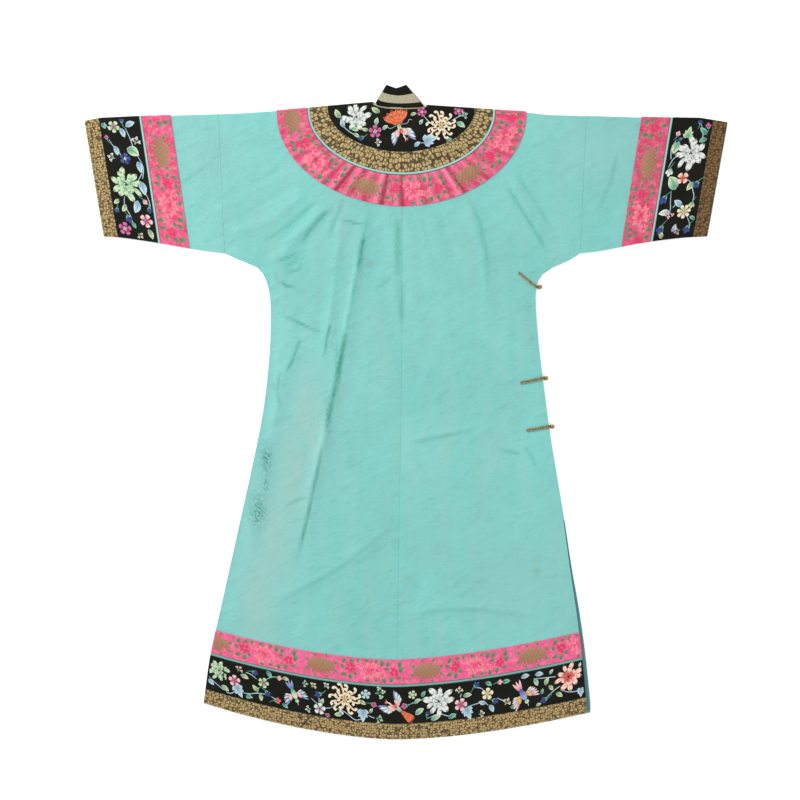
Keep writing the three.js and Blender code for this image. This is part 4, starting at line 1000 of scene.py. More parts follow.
def length_rows(step):
    """Rows up the back and down the front: (kind, value) pairs, with the layer that each lies in."""
    share = lambda span: max(2, round(span / step))
    rows = [("above", HEM_STACK * k / share(HEM_STACK), "back") for k in range(share(HEM_STACK))]
    skirt = share(HEM_DEPTH - HEM_STACK - WAIST)
    rows += [("hem", 1 - k / skirt, "back") for k in range(skirt)]
    middle = share(WAIST - UNDERARM)
    rows += [("below", lerp(WAIST, UNDERARM, k / middle), "back") for k in range(middle)]
    arm = share(UNDERARM)
    rows += [("top", k / arm, "back") for k in range(arm + 1)]
    rows += [("top", 1.0, turn) for turn in FOLD_TURNS]
    rows += [("top", 1 - k / 12, "front") for k in range(13)]
    rows += [("below", lerp(UNDERARM, WAIST, k / 24), "front") for k in range(1, 25)]
    rows += [("hem", k / 8, "front") for k in range(1, 9)]
    rows += [("above", 0.0, "front")]
    return rows


def row_height(kind, value, side, x, front):
    if kind == "above":
        return -hem_below(x, value)
    if kind == "hem":
        return -lerp(WAIST, hem_below(x, HEM_STACK), value)
    if kind == "below":
        return np.full(np.shape(x), -value)
    return lerp(-UNDERARM, top_of(side, x, front), value)


def row_reach(kind, value, side):
    if kind == "top":
        return lerp(SLEEVE_BOTTOM, SLEEVE_TOP, value) - SEWN_GAP / 2
    reach = side_edge(side, HEM_CORNER)
    for _ in range(3):
        reach = side_edge(side, -row_height(kind, value, side, np.array(side * reach), False))
    return float(reach)


def make_length(side, step):
    """One length of silk, from the back hem over the shoulder to the front hem."""
    half = NECK[side]
    fold_middle = FRONT_MID if side < 0 else INNER_MID
    fold_z, fold_r = (BACK_MID + fold_middle) / 2, (BACK_MID - fold_middle) / 2
    rows = length_rows(step)
    columns = round((SLEEVE_TOP - half) / step)
    neck = NECK_COLUMNS
    grid = []
    for kind, value, layer in rows:
        reach = row_reach(kind, value, side)
        outer = lerp(reach, half, np.arange(columns + 1) / columns)
        inner = np.maximum(half * np.cos(np.pi / 2 * np.arange(1, neck + 1) / neck), SEWN_GAP / 2)
        away = np.concatenate([outer, inner])
        drawn = side * away
        y = row_height(kind, value, side, drawn, layer == "front")
        if layer == "back":
            x = drawn - seam_stray(-y) * (1 - away / reach)
            z = back_z(x, y)
        elif layer == "front":
            x, z = drawn, np.full(len(away), fold_middle)
        else:
            turn = math.radians(layer)
            x, z = drawn, np.full(len(away), fold_z + fold_r * math.sin(turn))
            y = y + fold_r * math.cos(turn)
        grid.append(np.stack([x, y, z], 1))
    grid = np.stack(grid, 1)
    if side > 0:
        grid = grid[::-1]
    backs = sum(1 for row in rows if row[2] == "back")
    keep = np.ones(grid.shape[:2], bool)
    in_neck = slice(columns, columns + neck) if side < 0 else slice(0, neck)
    keep[in_neck, backs - 1 : backs + len(FOLD_TURNS)] = False
    name = SIDE_NAMES[side]
    make_sheet(f"silk_length_{name}", grid, -CLOTH / 2, CLOTH / 2, "dyed_silk", "silk", f"body_{name}",
               CUTS["silk_length"], "silk_overlap", keep=keep, rounding=SEWN_ROUNDING)


def sleeve_grid(side, distances, rows):
    """Points of a sleeve: one column for each distance from the cuff, from the underarm over the shoulder."""
    columns = []
    for distance in distances:
        if distance <= CUFF_STACK:
            top, bottom = CUFF_TOP[side] - distance, CUFF_BOTTOM[side] - distance
        else:
            share = (distance - CUFF_STACK) / (CUFF_TOP[side] - CUFF_STACK - SLEEVE_TOP)
            top = lerp(CUFF_TOP[side] - CUFF_STACK, SLEEVE_TOP + SEWN_GAP / 2, share)
            bottom = lerp(CUFF_BOTTOM[side] - CUFF_STACK, SLEEVE_BOTTOM + SEWN_GAP / 2, share)
        top_y = shoulder(side * top)
        bottom_y = -read(UNDER_SLEEVE[side], 1, np.array(bottom))
        t = np.linspace(0, 1, rows + 1)
        x, y = lerp(side * bottom, side * top, t), lerp(bottom_y, top_y, t)
        back = np.stack([x, y, back_z(x, y)], 1)
        turn = fold_points(np.array([side * top]), np.array([top_y]))[0]
        t = np.linspace(1, 0, SLEEVE_FRONT_ROWS)
        x, y = lerp(side * bottom, side * top, t), lerp(bottom_y, top_y, t)
        columns.append(np.concatenate([back, turn, np.stack([x, y, np.full(len(t), FRONT_MID)], 1)]))
    grid = np.stack(columns)
    return grid if side < 0 else grid[::-1]


def grid_uv(grid, across_first):
    """Distances along a grid's columns and rows, in centimetres."""
    along_i = np.concatenate([[0], np.cumsum(np.linalg.norm(np.diff(grid.mean(1), axis=0), axis=1))])
    along_j = np.concatenate([[0], np.cumsum(np.linalg.norm(np.diff(grid.mean(0), axis=0), axis=1))])
    i, j = np.meshgrid(along_i / 10, along_j / 10, indexing="ij")
    return np.stack([i, j] if across_first else [j, i], -1)


def make_sleeve(side, step):
    span = CUFF_TOP[side] - SLEEVE_TOP
    grid = sleeve_grid(side, np.linspace(0, span, round(span / step)), round(SLEEVE_DEPTH / step))
    name = SIDE_NAMES[side]
    make_sheet(f"silk_sleeve_{name}", grid, -CLOTH / 2, CLOTH / 2, "dyed_silk", "silk", f"sleeve_{name}",
               CUTS["silk_sleeve"], f"silk_length_{name}", rounding=SEWN_ROUNDING)


# ---------------------------------------------------------------- the overlap and its lining
def overlap_edge(below):
    return side_edge(1, below) + read(SIDES, 3, below)


def overlap_neck_edge(below):
    """The overlap's curved edge between the neck and the first closure."""
    t = np.linspace(0, 1, 81)
    weights = np.stack([(1 - t) ** 3, 3 * t * (1 - t) ** 2, 3 * t**2 * (1 - t), t**3], 1)
    curve = weights @ np.array(OVERLAP_EDGE, float)
    return np.interp(below, curve[:, 1], curve[:, 0])


def overlap_grid(step):
    """Points of the overlapping front, from its centre edge out, and from the neck down to the hem."""
    top, corner = OVERLAP_EDGE[0][1], OVERLAP_EDGE[-1][1]
    rows = [(overlap_neck_edge(below), below, 0.0) for below in np.linspace(top + 0.6, corner, 30)]
    rows += [(overlap_edge(below), below, 0.0) for below in np.linspace(corner, WAIST, 26)[1:]]
    for share in np.linspace(0, 1, 60)[1:]:
        reach = overlap_edge(HEM_CORNER)
        for _ in range(3):
            reach = overlap_edge(lerp(WAIST, hem_below(reach), share))
        rows.append((reach, WAIST, share))
    across = np.linspace(0, 1, round(OVERLAP_WIDTH / step) + 1)
    grid = []
    for reach, below, share in rows:
        x = lerp(SEAM / 2, float(reach), across)
        y = -lerp(below, hem_below(x), share)
        grid.append(np.stack([x, y, np.full(len(x), FRONT_MID)], 1))
    return np.stack(grid, 1)[:, ::-1]


def make_overlap(step):
    grid = overlap_grid(step)
    make_sheet("silk_overlap", grid, -CLOTH / 2, CLOTH / 2, "dyed_silk", "silk", "front_overlap",
               CUTS["silk_overlap"], "silk_length_right", normal=UP)


def make_overlap_lining():
    depths = np.linspace(1085, 741, 92)
    columns = []
    for share in np.linspace(0, 1, 4):
        x = lerp(side_edge(1, depths) + 2 * SEAM, overlap_edge(depths), share)
        columns.append(np.stack([x, -depths, np.full(len(x), INNER_LOW + TRIM / 2)], 1))
    grid = np.stack(columns)[:, ::-1]
    make_sheet("overlap_lining", grid, -TRIM / 2, TRIM / 2, "teal_lining", "lining", "front_lining",
               CUTS["overlap_lining"], "silk_overlap", normal=UP)


# ---------------------------------------------------------------- bands of the hem and the cuffs
BAND_FINISH = {
    "gold": ("gold_cloth", "gold_brocade"),
    "black": ("satin_ground", "black_satin"),
    "piping": ("aqua_piping", "piping"),
    "pink": ("ribbon_ground", "pink_ribbon"),
}
HEM_FINISH = {"piping": "hem_cord", "pink": "hem_ribbon"}
RIGHT_CUFF_FINISH = {"gold": "brown_cloth", "pink": "dull_ribbon"}


def crown(count):
    """Heights across a rounded piping, as shares of its thickness."""
    return 0.4 + 0.6 * np.sqrt(1 - np.linspace(-1, 1, count) ** 2)


def band_cells(width, step):
    return max(4, math.ceil(width / step))


def hem_grid(low, high, step, front=False):
    """Points of a band along the hem, between two heights above it."""
    shares = np.linspace(-1, 1, 2 * round(HEM_HALF / step) + 1)
    rows = []
    for above in np.linspace(low + SEAM / 2, high - SEAM / 2, band_cells(high - low, step) + 1):
        reach = {}
        for side in (-1, 1):
            edge = overlap_edge if front and side > 0 else partial(side_edge, side)
            reach[side] = edge(HEM_CORNER)
            for _ in range(3):
                reach[side] = edge(hem_below(side * reach[side], above))
        drawn = np.where(shares < 0, shares * reach[-1], shares * reach[1])
        y = -hem_below(drawn, above)
        if front:
            rows.append(np.stack([drawn, y, np.zeros(len(y))], 1))
        else:
            x = drawn - seam_stray(-y) * (1 - np.abs(shares))
            rows.append(np.stack([x, y, back_z(x, y)], 1))
    return np.stack(rows, 1)


def make_hem_bands(step):
    above = 0.0
    for band, width in HEM_BANDS.items():
        finish_name, slot = BAND_FINISH[band]
        finish_name = HEM_FINISH.get(band, finish_name)
        cut = strip_cut(width, HEM_LENGTH)
        grid = hem_grid(above, above + width, step)
        thick = TRIM * (crown(grid.shape[1]) if band == "piping" else 1)
        make_sheet(f"hem_{band}_on_back", grid, BAND_LOW, BAND_LOW + thick, finish_name, slot,
                   f"hem_back_{band}", cut, "silk_length_left")
        grid = hem_grid(above, above + width, step, True)[:, ::-1]
        make_sheet(f"hem_{band}_on_front", grid, -TRIM, -FACE_RECESS, finish_name, slot, f"hem_front_{band}",
                   cut, "silk_overlap", normal=-UP)
        above += width


def make_cuff_bands(side, step):
    name = SIDE_NAMES[side]
    start = 0.0
    rows = round(SLEEVE_DEPTH / step)
    for band, width in CUFF_BANDS.items():
        finish_name, slot = BAND_FINISH[band]
        if side > 0:
            finish_name = RIGHT_CUFF_FINISH.get(band, finish_name)
        distances = np.linspace(start + SEAM / 2, start + width - SEAM / 2, band_cells(width, step) + 1)
        grid = sleeve_grid(side, distances, rows)
        thick = np.full(grid.shape[:2], TRIM)
        if band == "piping":
            thick *= crown(len(distances))[:, None]
        front = thick[:, -SLEEVE_FRONT_ROWS:]
        np.minimum(front, TRIM - FACE_RECESS, out=front)
        make_sheet(f"cuff_{band}_{name}", grid, BAND_LOW, BAND_LOW + thick, finish_name, slot,
                   f"cuff_{name}_{band}", strip_cut(width, CUFF_ROUND), f"silk_sleeve_{name}",
                   across_first=True)
        start += width


# ---------------------------------------------------------------- yoke
def yoke_plan(ring, turn, front=False):
    """A place on a line of the yoke, where turn runs from 0 at the left shoulder to 180 at the right one."""
    across = -np.cos(np.radians(turn))
    x = across * np.where(across < 0, ring[0], ring[1])
    return x, lerp(shoulder(x), -ring[3 if front else 2], np.sin(np.radians(turn)))


def yoke_grid(ring, inside, cells, step):
    """Points of a ring of the yoke: columns round it, and rows from its outer edge to its inner one."""
    outer, inner = np.array(ring, float) - SEAM / 2, np.array(inside, float) + SEAM / 2
    back = np.linspace(0, 180, round(YOKE_BACK / step) + 1)
    front = np.linspace(180, 0, round(YOKE_FRONT / step) + 1)
    rows = []
    for share in range(cells + 1):
        line = lerp(outer, inner, share / cells)
        right, left = np.array([line[1]]), np.array([-line[0]])
        x, y = yoke_plan(line, back)
        fx, fy = yoke_plan(line, front, True)
        rows.append(np.concatenate([
            np.stack([x, y, back_z(x, y)], 1),
            fold_points(right, shoulder(right))[0],
            np.stack([fx, fy, np.full(len(fx), FRONT_MID)], 1),
            fold_points(left, shoulder(left))[0][::-1],
        ]))
    return np.stack(rows, 1), back, len(front)


def pucker_height(turn, t):
    """How far the yoke's ribbon is gathered up, at a turn round it and a share of its width from outside."""
    height = np.zeros(np.broadcast(turn, t).shape)
    taper = 0.35 + 0.65 * np.sin(np.pi * np.clip(1.15 - t, 0, 1)) ** 0.8
    for at, rise, half in PUCKERS:
        slant = at + 3 * math.sin(at * 1.7) * (t - 0.5)
        near = np.clip((turn - slant) / half, -1, 1)
        near = np.where(near > 0, np.minimum(near * 1.6, 1), near)
        height = np.maximum(height, rise * np.cos(np.pi / 2 * near) ** 2 * taper)
    return height


def pucker_shading(points):
    """Painted shade in the furrow beside each pucker and a painted highlight on its crest, as red and green.
    """
    left, right, back, _ = (np.array(RINGS["yoke_pink"]) + RINGS["yoke_piping"]) / 2
    x, below = points[:, 0], -points[:, 1]
    turn = np.degrees(np.arctan2(np.maximum(below, 0) / back, -x / np.where(x < 0, left, right)))
    wear_and_shade = np.zeros((len(points), 3))
    for at, rise, _ in PUCKERS:
        for column, aside, half in ((0, 1.6, 1.3), (1, -1.2, 1.4)):
            close = min(rise / 2.6, 1) * np.exp(-(((turn - at - aside) / half) ** 2))
            wear_and_shade[:, column] = np.maximum(wear_and_shade[:, column], close)
    return wear_and_shade * (points[:, 2:] > UPPER_LAYER)


def make_yoke(step):
    names = list(RINGS)
    for name, inside in zip(names[1:], names):
        finish_name, slot = YOKE_FINISH[name]
        width = RINGS[name][0] - RINGS[inside][0]
        cells = 6 if "piping" in name else band_cells(width, step)
        grid, turns, front_count = yoke_grid(RINGS[name], RINGS[inside], cells, step)
        thick = np.full(grid.shape[:2], TRIM)
        back_count = len(turns)
        if "piping" in name:
            thick *= crown(cells + 1)
            swell = 0.5 * crown(cells + 1) * fade(np.minimum(turns, 180 - turns), 0, 12)[:, None]
            thick[1 : back_count - 1] += swell[1:-1]
        if name == "yoke_pink":
            thick[:back_count] += pucker_height(turns[:, None], np.linspace(0, 1, cells + 1)[None])
        first = back_count + len(FOLD_TURNS)
        front = thick[first : first + front_count]
        np.minimum(front, TRIM - FACE_RECESS, out=front)
        make_sheet(f"{name}_ring", grid, BAND_LOW, BAND_LOW + thick, finish_name, slot, name,
                   strip_cut(width, YOKE_LENGTHS[name]), "silk_length_left", ring=True)


# ---------------------------------------------------------------- stand collar
def collar_grid(shares):
    """Points of the collar: columns from the centre front by the left side and the back to the front."""
    back_mid, front_mid = BACK_LOW + COLLAR_THICK / 2, FRONT_LOW + COLLAR_THICK / 2
    turn_z, turn_r = (back_mid + front_mid) / 2, (back_mid - front_mid) / 2

    def line(across, front, z, outward=0.0):
        half = NECK[-1] if across < 0 else NECK[1]
        end = shoulder(np.sign(across) * half if across else half)
        middle = (-NECK_FRONT if front else -NECK_BACK) + COLLAR_GAP
        bx, by = across * (half - COLLAR_INSET), lerp(end, middle, math.sqrt(1 - across * across))
        tx = lerp(COLLAR_TOP_LEFT, COLLAR_TOP_RIGHT, (across + 1) / 2)
        low = -COLLAR_FRONT_TOP if front else COLLAR_TOP - COLLAR_DIP
        ty = lerp(low, COLLAR_TOP, across * across if front else abs(across) ** 1.3)
        return np.stack([lerp(bx, tx, shares) + outward, lerp(by, ty, shares), np.full(len(shares), z)], 1)

    quarter = np.radians(np.linspace(0, 90, 15))
    turns = np.radians(FOLD_TURNS[::-1])
    opening = COLLAR_SLIT / (2 * NECK[-1])
    columns = [line(-max(math.sin(a), opening), True, front_mid) for a in quarter]
    columns += [line(-1, False, turn_z + turn_r * math.sin(a), -turn_r * math.cos(a)) for a in turns]
    columns += [line(a, False, back_mid) for a in np.linspace(-1, 1, 41)]
    columns += [line(1, False, turn_z + turn_r * math.sin(a), turn_r * math.cos(a)) for a in turns[::-1]]
    columns += [line(max(math.sin(a), opening), True, front_mid) for a in quarter[::-1]]
    return np.stack(columns)


def make_collar():
    half = COLLAR_THICK / 2
    make_sheet("collar_stand", collar_grid(np.linspace(0, 1, 13)), -half, half, "satin_ground", "black_satin",
               "collar", CUTS["collar_stand"], "silk_length_left")
    first, last = COLLAR_RIBBON
    grid = collar_grid(np.linspace(first, last, 6))[14:-14]
    low = half + SEAM
    make_sheet("collar_cream_ribbon", grid, low, low + RIBBON_THICK, "collar_ribbon", "collar_trim",
               "collar_ribbon", CUTS["collar_cream_ribbon"], "collar_stand")


# ---------------------------------------------------------------- closures
def smooth_path(points, samples=8):
    """A Catmull-Rom curve through points."""
    p = np.array(points, float)
    p = np.concatenate([[2 * p[0] - p[1]], p, [2 * p[-1] - p[-2]]])
    t = np.linspace(0, 1, samples, endpoint=False)[:, None]
    a, b, c, d = p[:-3, None], p[1:-2, None], p[2:-1, None], p[3:, None]
    curve = 0.5 * (2 * b + (c - a) * t + (2 * a - 5 * b + 4 * c - d) * t**2 + (3 * b - a - 3 * c + d) * t**3)
    return np.concatenate([curve.reshape(-1, 3), p[-2:-1]])


def tube(path, radius, sides=14, binding=0.0, pitch=1.6):
    """A round cord along a path, closed at its ends, with a thread wound round it."""
    ahead = np.gradient(path, axis=0)
    ahead /= np.linalg.norm(ahead, axis=1, keepdims=True)
    sideways = np.cross(ahead, UP + 1e-4)
    sideways /= np.linalg.norm(sideways, axis=1, keepdims=True)
    upward = np.cross(sideways, ahead)
    length = np.concatenate([[0], np.cumsum(np.linalg.norm(np.diff(path, axis=0), axis=1))])
    turn = np.arange(sides) * 2 * np.pi / sides
    wound = 1 - binding + binding * np.cos(turn[None, :] - 2 * np.pi * length[:, None] / pitch)
    reach = radius * wound
    ring = path[:, None] + reach[..., None] * (
        np.cos(turn)[None, :, None] * sideways[:, None] + np.sin(turn)[None, :, None] * upward[:, None]
    )
    n = len(path)
    i, k = np.meshgrid(np.arange(n - 1), np.arange(sides), indexing="ij")
    k2 = (k + 1) % sides
    i = i * sides
    quads = np.stack([i + sides + k, i + sides + k2, i + k2, i + k], -1).reshape(-1, 4)
    faces = quads.tolist() + [list(range(sides)), list(range((n - 1) * sides, n * sides))[::-1]]
    uv = np.stack(np.broadcast_arrays(length[:, None] / 10, turn[None, :] / 6), -1).reshape(-1, 2)
    return ring.reshape(-1, 3), faces, uv


def strap_path(below, slope):
    """The doubled cord: out over the back, down past the edge, round the ball's shank and back again."""
    ball_x = side_edge(1, below) + BALL_OUT
    on_cloth = BACK_LOW + CLOTH + SEAM + CORD
    loop_r = SHANK + SEAM + CORD
    loop_z = BALL_LOW - SEAM - CORD
    half = CORD_PITCH / 2
    leg = [
        (-STRAP_LENGTH - BALL_OUT, half, on_cloth),
        (-STRAP_LENGTH * 0.66 - BALL_OUT, half, on_cloth),
        (-STRAP_LENGTH * 0.33 - BALL_OUT, half, on_cloth),
        (-BALL_OUT - 2, half, on_cloth),
        (-BALL_OUT + 1, half, on_cloth + 0.1),
        (-BALL_OUT + 2.6, half * 1.2, on_cloth - 1.4),
        (-loop_r * 0.55, loop_r * 0.85, loop_z + 0.3),
    ]
    turn = np.radians(np.linspace(90, -90, 7))
    loop = [(loop_r * math.cos(a), loop_r * math.sin(a), loop_z) for a in turn]
    back = [(a, -s, z) for a, s, z in reversed(leg)]
    tilt = math.atan(slope)
    path = []
    for along, aside, z in leg + loop + back:
        over = min(along + BALL_OUT, 0)
        reach = over * math.cos(tilt) - BALL_OUT if over < 0 else along
        path.append((ball_x + reach, -below + over * math.sin(tilt) + aside, z))
    return smooth_path(path)


def revolve(profile, turns, swell):
    """A turned form about the upright axis from (radius, z) pairs. swell(turn, z) scales each radius."""
    angle = np.arange(turns) * 2 * np.pi / turns
    rings = []
    for r, z in profile[1:-1]:
        reach = r * swell(angle, z)
        rings.append(np.stack([reach * np.cos(angle), reach * np.sin(angle), np.full(turns, z)], 1))
    points = np.concatenate([[[0, 0, profile[0][1]]], *rings, [[0, 0, profile[-1][1]]]])
    faces = []
    last = len(points) - 1
    for k in range(turns):
        k2 = (k + 1) % turns
        faces.append([0, 1 + k2, 1 + k])
        for j in range(len(rings) - 1):
            a, b = 1 + j * turns, 1 + (j + 1) * turns
            faces.append([a + k, a + k2, b + k2, b + k])
        faces.append([last, last - turns + k, last - turns + k2])
    return points, faces


def make_closure(number, below, slope):
    place = np.array([side_edge(1, below) + BALL_OUT, -below, 0.0])
    points, faces, uv = tube(strap_path(below, slope), CORD, binding=0.09)
    cord = make_object(f"closure_{number}_bound_cord", points, faces, "bound_cord", uv, smooth_angle=70)
    finish_piece(cord, "cord", f"closure_{number}_loop")

    centre = BALL_LOW + BALL_RADIUS
    profile = [(0, FRONT_LOW), (SHANK * 0.8, FRONT_LOW), (SHANK, FRONT_LOW + 0.3)]
    turns = np.linspace(0.27, 3.05, 26)
    profile += [(BALL_RADIUS * math.sin(a), centre - BALL_RADIUS * math.cos(a)) for a in turns]
    profile.append((0, centre + BALL_RADIUS))

    def chased(angle, z):
        height = np.clip((z - BALL_LOW) / (2 * BALL_RADIUS), 0, 1)
        if not 0 < height < 1:
            return np.ones(len(angle))
        petals = np.abs(np.cos(4 * angle + 0.4)) ** 0.6
        return 1 - 0.09 * (1 - petals) * math.sin(math.pi * height) ** 0.5

    points, faces = revolve(profile, 40, chased)
    ball = make_object(f"closure_{number}_brass_ball", points + place, faces, "aged_brass", smooth_angle=60)
    finish_piece(ball, "brass", f"closure_{number}_ball")

    length = STAY_LENGTH + BALL_OUT
    x = np.linspace(place[0] + STAY_WIDTH / 2 - length, place[0] + STAY_WIDTH / 2, 20)
    y = np.linspace(-below - STAY_WIDTH / 2, -below + STAY_WIDTH / 2, 7)
    grid = np.stack([*np.meshgrid(x, y, indexing="ij"), np.full((20, 7), TRIM / 2)], -1)
    thick = TRIM / 2 * crown(7)
    points, faces, uv = wall(grid, -thick, thick, grid_uv(grid, False), normal=UP)
    stay = make_object(f"closure_{number}_flat_stay", points, faces, "bound_cord", uv)
    finish_piece(stay, "cord", f"closure_{number}_stay")


# ---------------------------------------------------------------- needlework
class Needlework:
    """Stitched patches on a band, drawn in millimetres along and across it. place sets them on the robe."""

    def __init__(self, place, reach, front=False, thick=0.3):
        self.place, self.reach, self.front, self.thick = place, reach, front, thick
        self.places, self.heights, self.colours, self.weaves, self.faces = [], [], [], [], []
        self.count = 0
        self.level = 0
        self.chance = np.random.default_rng(7)

    def patch(self, u, v, rise, colour, weave):
        """One closed patch, from grids of places, heights from 0 to 1, colours and weave places."""
        n, m = u.shape
        number = np.arange(n * m).reshape(n, m)
        rim = np.concatenate([number[0], number[1:, -1], number[-1, -2::-1], number[-2:0:-1, 0]])
        base = self.count
        feet = base + n * m + np.arange(len(rim))
        quads = np.stack([number[:-1, :-1], number[1:, :-1], number[1:, 1:], number[:-1, 1:]], -1)
        self.faces += (base + quads.reshape(-1, 4)).tolist()
        self.faces += np.stack([base + rim, base + np.roll(rim, -1), np.roll(feet, -1), feet], 1).tolist()
        self.faces.append(feet[::-1].tolist())
        flat = np.stack([u.ravel(), v.ravel()], 1)
        top = self.level * LAYER_RISE + self.thick * rise.ravel()
        self.places += [flat, flat[rim]]
        self.heights += [top, np.full(len(rim), -PATCH_SUNK)]
        shades = np.broadcast_to(colour, (n, m, 3)).reshape(-1, 3)
        self.colours += [shades, shades[rim]]
        threads = weave.reshape(-1, 2)
        self.weaves += [threads, threads[rim]]
        self.count += n * m + len(rim)

    def petal(self, root, tip, width, thread, shape=ROUND, bend=0.0, frill=0.0, vein=0.0, edge=0.0):
        """A petal, leaf or feather, whose shade runs from its root to its tip.

        frill gives its end three lobes, and edge a dark outline, or a pale one where it is below zero.
        """
        coarse = self.front or self.thick < 0.1
        across = COARSE if coarse else LOBED if frill else EDGED if edge else PLAIN
        s = np.linspace(0, 1, 5 if coarse else 8)[:, None]
        t = np.array([-x for x in across[:0:-1]] + across)[None]
        root, ahead = np.array(root, float), np.subtract(tip, root)
        length = math.hypot(*ahead)
        aside = np.array([-ahead[1], ahead[0]]) / length
        a, b = shape
        half = width / 2 * s**a * (1 - s) ** b / ((a / (a + b)) ** a * (b / (a + b)) ** b)
        half = np.maximum(half, 0.03 * width)
        reach = s * (1 + frill * np.cos(3 * np.pi * t) * s**2)
        shift = half * t + bend * length * 4 * s * (1 - s)
        u = root[0] + ahead[0] * reach + aside[0] * shift
        v = root[1] + ahead[1] * reach + aside[1] * shift
        rise = np.sqrt(1 - (0.8 * t) ** 2) * np.minimum(1, 0.5 + 5 * s * (1 - s))
        deep, pale = np.array(THREADS[thread])
        colour = lerp(deep, pale, (np.clip(1.5 * s - 0.15, 0, 1) + 0 * t)[..., None])
        colour = lerp(colour, deep, (vein * np.exp(-((t / 0.22) ** 2)) * (s < 0.9))[..., None])
        rim = np.maximum(np.abs(t) > 0.85, (s == 0) | (s == 1))
        colour = lerp(colour, 0.2 * deep if edge > 0 else 0.3 + 0.7 * pale, (abs(edge) * rim)[..., None])
        weave = np.stack(np.broadcast_arrays(t * width / 20, s * length / 10), -1)
        self.patch(u, v, rise, colour, weave)

    def strand(self, path, width, thread, taper=0.5, samples=4, grow=0.0):
        """A stem, vein or thin curling petal along a path, which grow makes thinner at its start."""
        path = smooth_path([(x, y, 0) for x, y in path], 2 if self.front else samples)[:, :2]
        ahead = np.gradient(path, axis=0)
        ahead /= np.maximum(np.linalg.norm(ahead, axis=1, keepdims=True), 1e-9)
        aside = np.stack([-ahead[:, 1], ahead[:, 0]], 1)
        s, t = np.linspace(0, 1, len(path))[:, None], np.linspace(-1, 1, 3)[None]
        half = width / 2 * (1 - taper * np.abs(2 * s - 1) ** 3) * (1 - grow * (1 - s))
        u = path[:, :1] + aside[:, :1] * half * t
        v = path[:, 1:] + aside[:, 1:] * half * t
        deep, pale = THREADS[thread]
        colour = lerp(np.array(deep), np.array(pale), (0.35 + 0.65 * s + 0 * t)[..., None])
        weave = np.stack(np.broadcast_arrays(s * len(path) / 10, t * width / 20), -1)
        self.patch(u, v, 0.75 - 0.5 * t**2 + 0 * s, colour, weave)

    def turned(self, u, v, far, angle):
        return u + far * math.cos(angle), v + far * math.sin(angle)

    def spoke(self, u, v, near, far, angle, *form, **more):
        """A petal along an angle, between two distances from a place."""
        self.petal(self.turned(u, v, near, angle), self.turned(u, v, far, angle), *form, **more)

    def jitter(self, size=1.0):
        return size * (self.chance.random() - 0.5)

    def leaf(self, u, v, size, turn, thread="leaf", broad=0.55):
        """A leaf about a place, pointing along turn."""
        self.spoke(u, v, -size / 2, size / 2, turn, size * broad, thread, POINTED, 0.06, vein=0.75, edge=-0.5)

    def woven_leaf(self, u, v, size, turn):
        """A round leaf of a woven ribbon."""
        self.spoke(u, v, -0.6 * size, 0.6 * size, turn, 0.95 * size, "woven_green", BLUNT, vein=0.5)

    def woven_peony(self, u, v, size, turn):
        """A full woven flower: pale ragged petals about a heart of deep rose dashes."""
        self.petal_spray(u, v, size, turn, "woven_pale")
        self.level = 1
        for k in range(7):
            at = (u + (k - 3) * 0.22 * size, v + self.jitter(0.4) * size)
            angle = turn + math.pi / 2 + self.jitter(1.4)
            self.spoke(*at, 0, (0.3 + self.jitter(0.2)) * size, angle, 0.13 * size, "woven_rose")
        self.level = 0

    def peony(self, u, v, size, turn, thread="white", heart="white"):
        """A full flower: lobed petals in uneven rings, apart from each other, round a crowded heart."""
        rings = ((9, 1.08, 0.46), (7, 0.78, 0.42), (6, 0.50, 0.32), (6, 0.30, 0.18))
        for level, (count, reach, wide) in enumerate(rings):
            for k in range(count):
                self.level = level + 0.5 * (k % 2)
                angle = turn + (k + self.jitter(0.5)) * 2 * math.pi / count + 0.5 * level
                far = size * reach * (1 + self.jitter(0.3))
                self.spoke(u, v, 0.2 * far, far, angle, size * wide * (1 + self.jitter(0.4)),
                           thread if level < 2 else heart, BLUNT, self.jitter(0.3), 0.14, 0.2, 1.0)
        for k in range(6):
            angle = turn + k * math.pi / 3
            at = self.turned(u, v, (0.04 + 0.07 * (k % 2)) * size, angle)
            self.level = 4 + 0.5 * (k % 2)
            self.spoke(*at, 0, 0.16 * size, angle, 0.13 * size, heart, edge=1.0)
        self.level = 0

    def blossom(self, u, v, size, turn, thread="rose", heart="magenta", count=5):
        """An open flower of a few round petals."""
        for k in range(count):
            self.level = k % 2
            angle = turn + k * 2 * math.pi / count
            self.spoke(u, v, 0.12 * size, size, angle, size * 3.9 / count, thread, BLUNT, edge=1.0)
        self.level = 2
        for k in range(4):
            self.spoke(u, v, 0, 0.3 * size, turn + k * math.pi / 2, 0.26 * size, heart)
        self.level = 0

    def bud(self, u, v, size, turn, thread="blue", green="teal"):
        """A closed flower: three petals in a green cup on a short stem."""
        stem = [self.turned(u, v, -1.1 * size, turn + 0.3), self.turned(u, v, -0.2 * size, turn), (u, v)]
        self.strand(stem, 0.9, green)
        for spread in (-0.5, 0.5, 0.0):
            self.level = 1 if spread == 0 else 0
            far = size * (1 if spread else 1.25)
            self.spoke(u, v, 0, far, turn + spread, 0.5 * size, thread, edge=0.8)
        root = self.turned(u, v, -0.1 * size, turn)
        for spread in (-0.7, 0.7):
            self.petal(root, self.turned(u, v, 0.45 * size, turn + spread), 0.25 * size, green, POINTED)
        self.level = 0

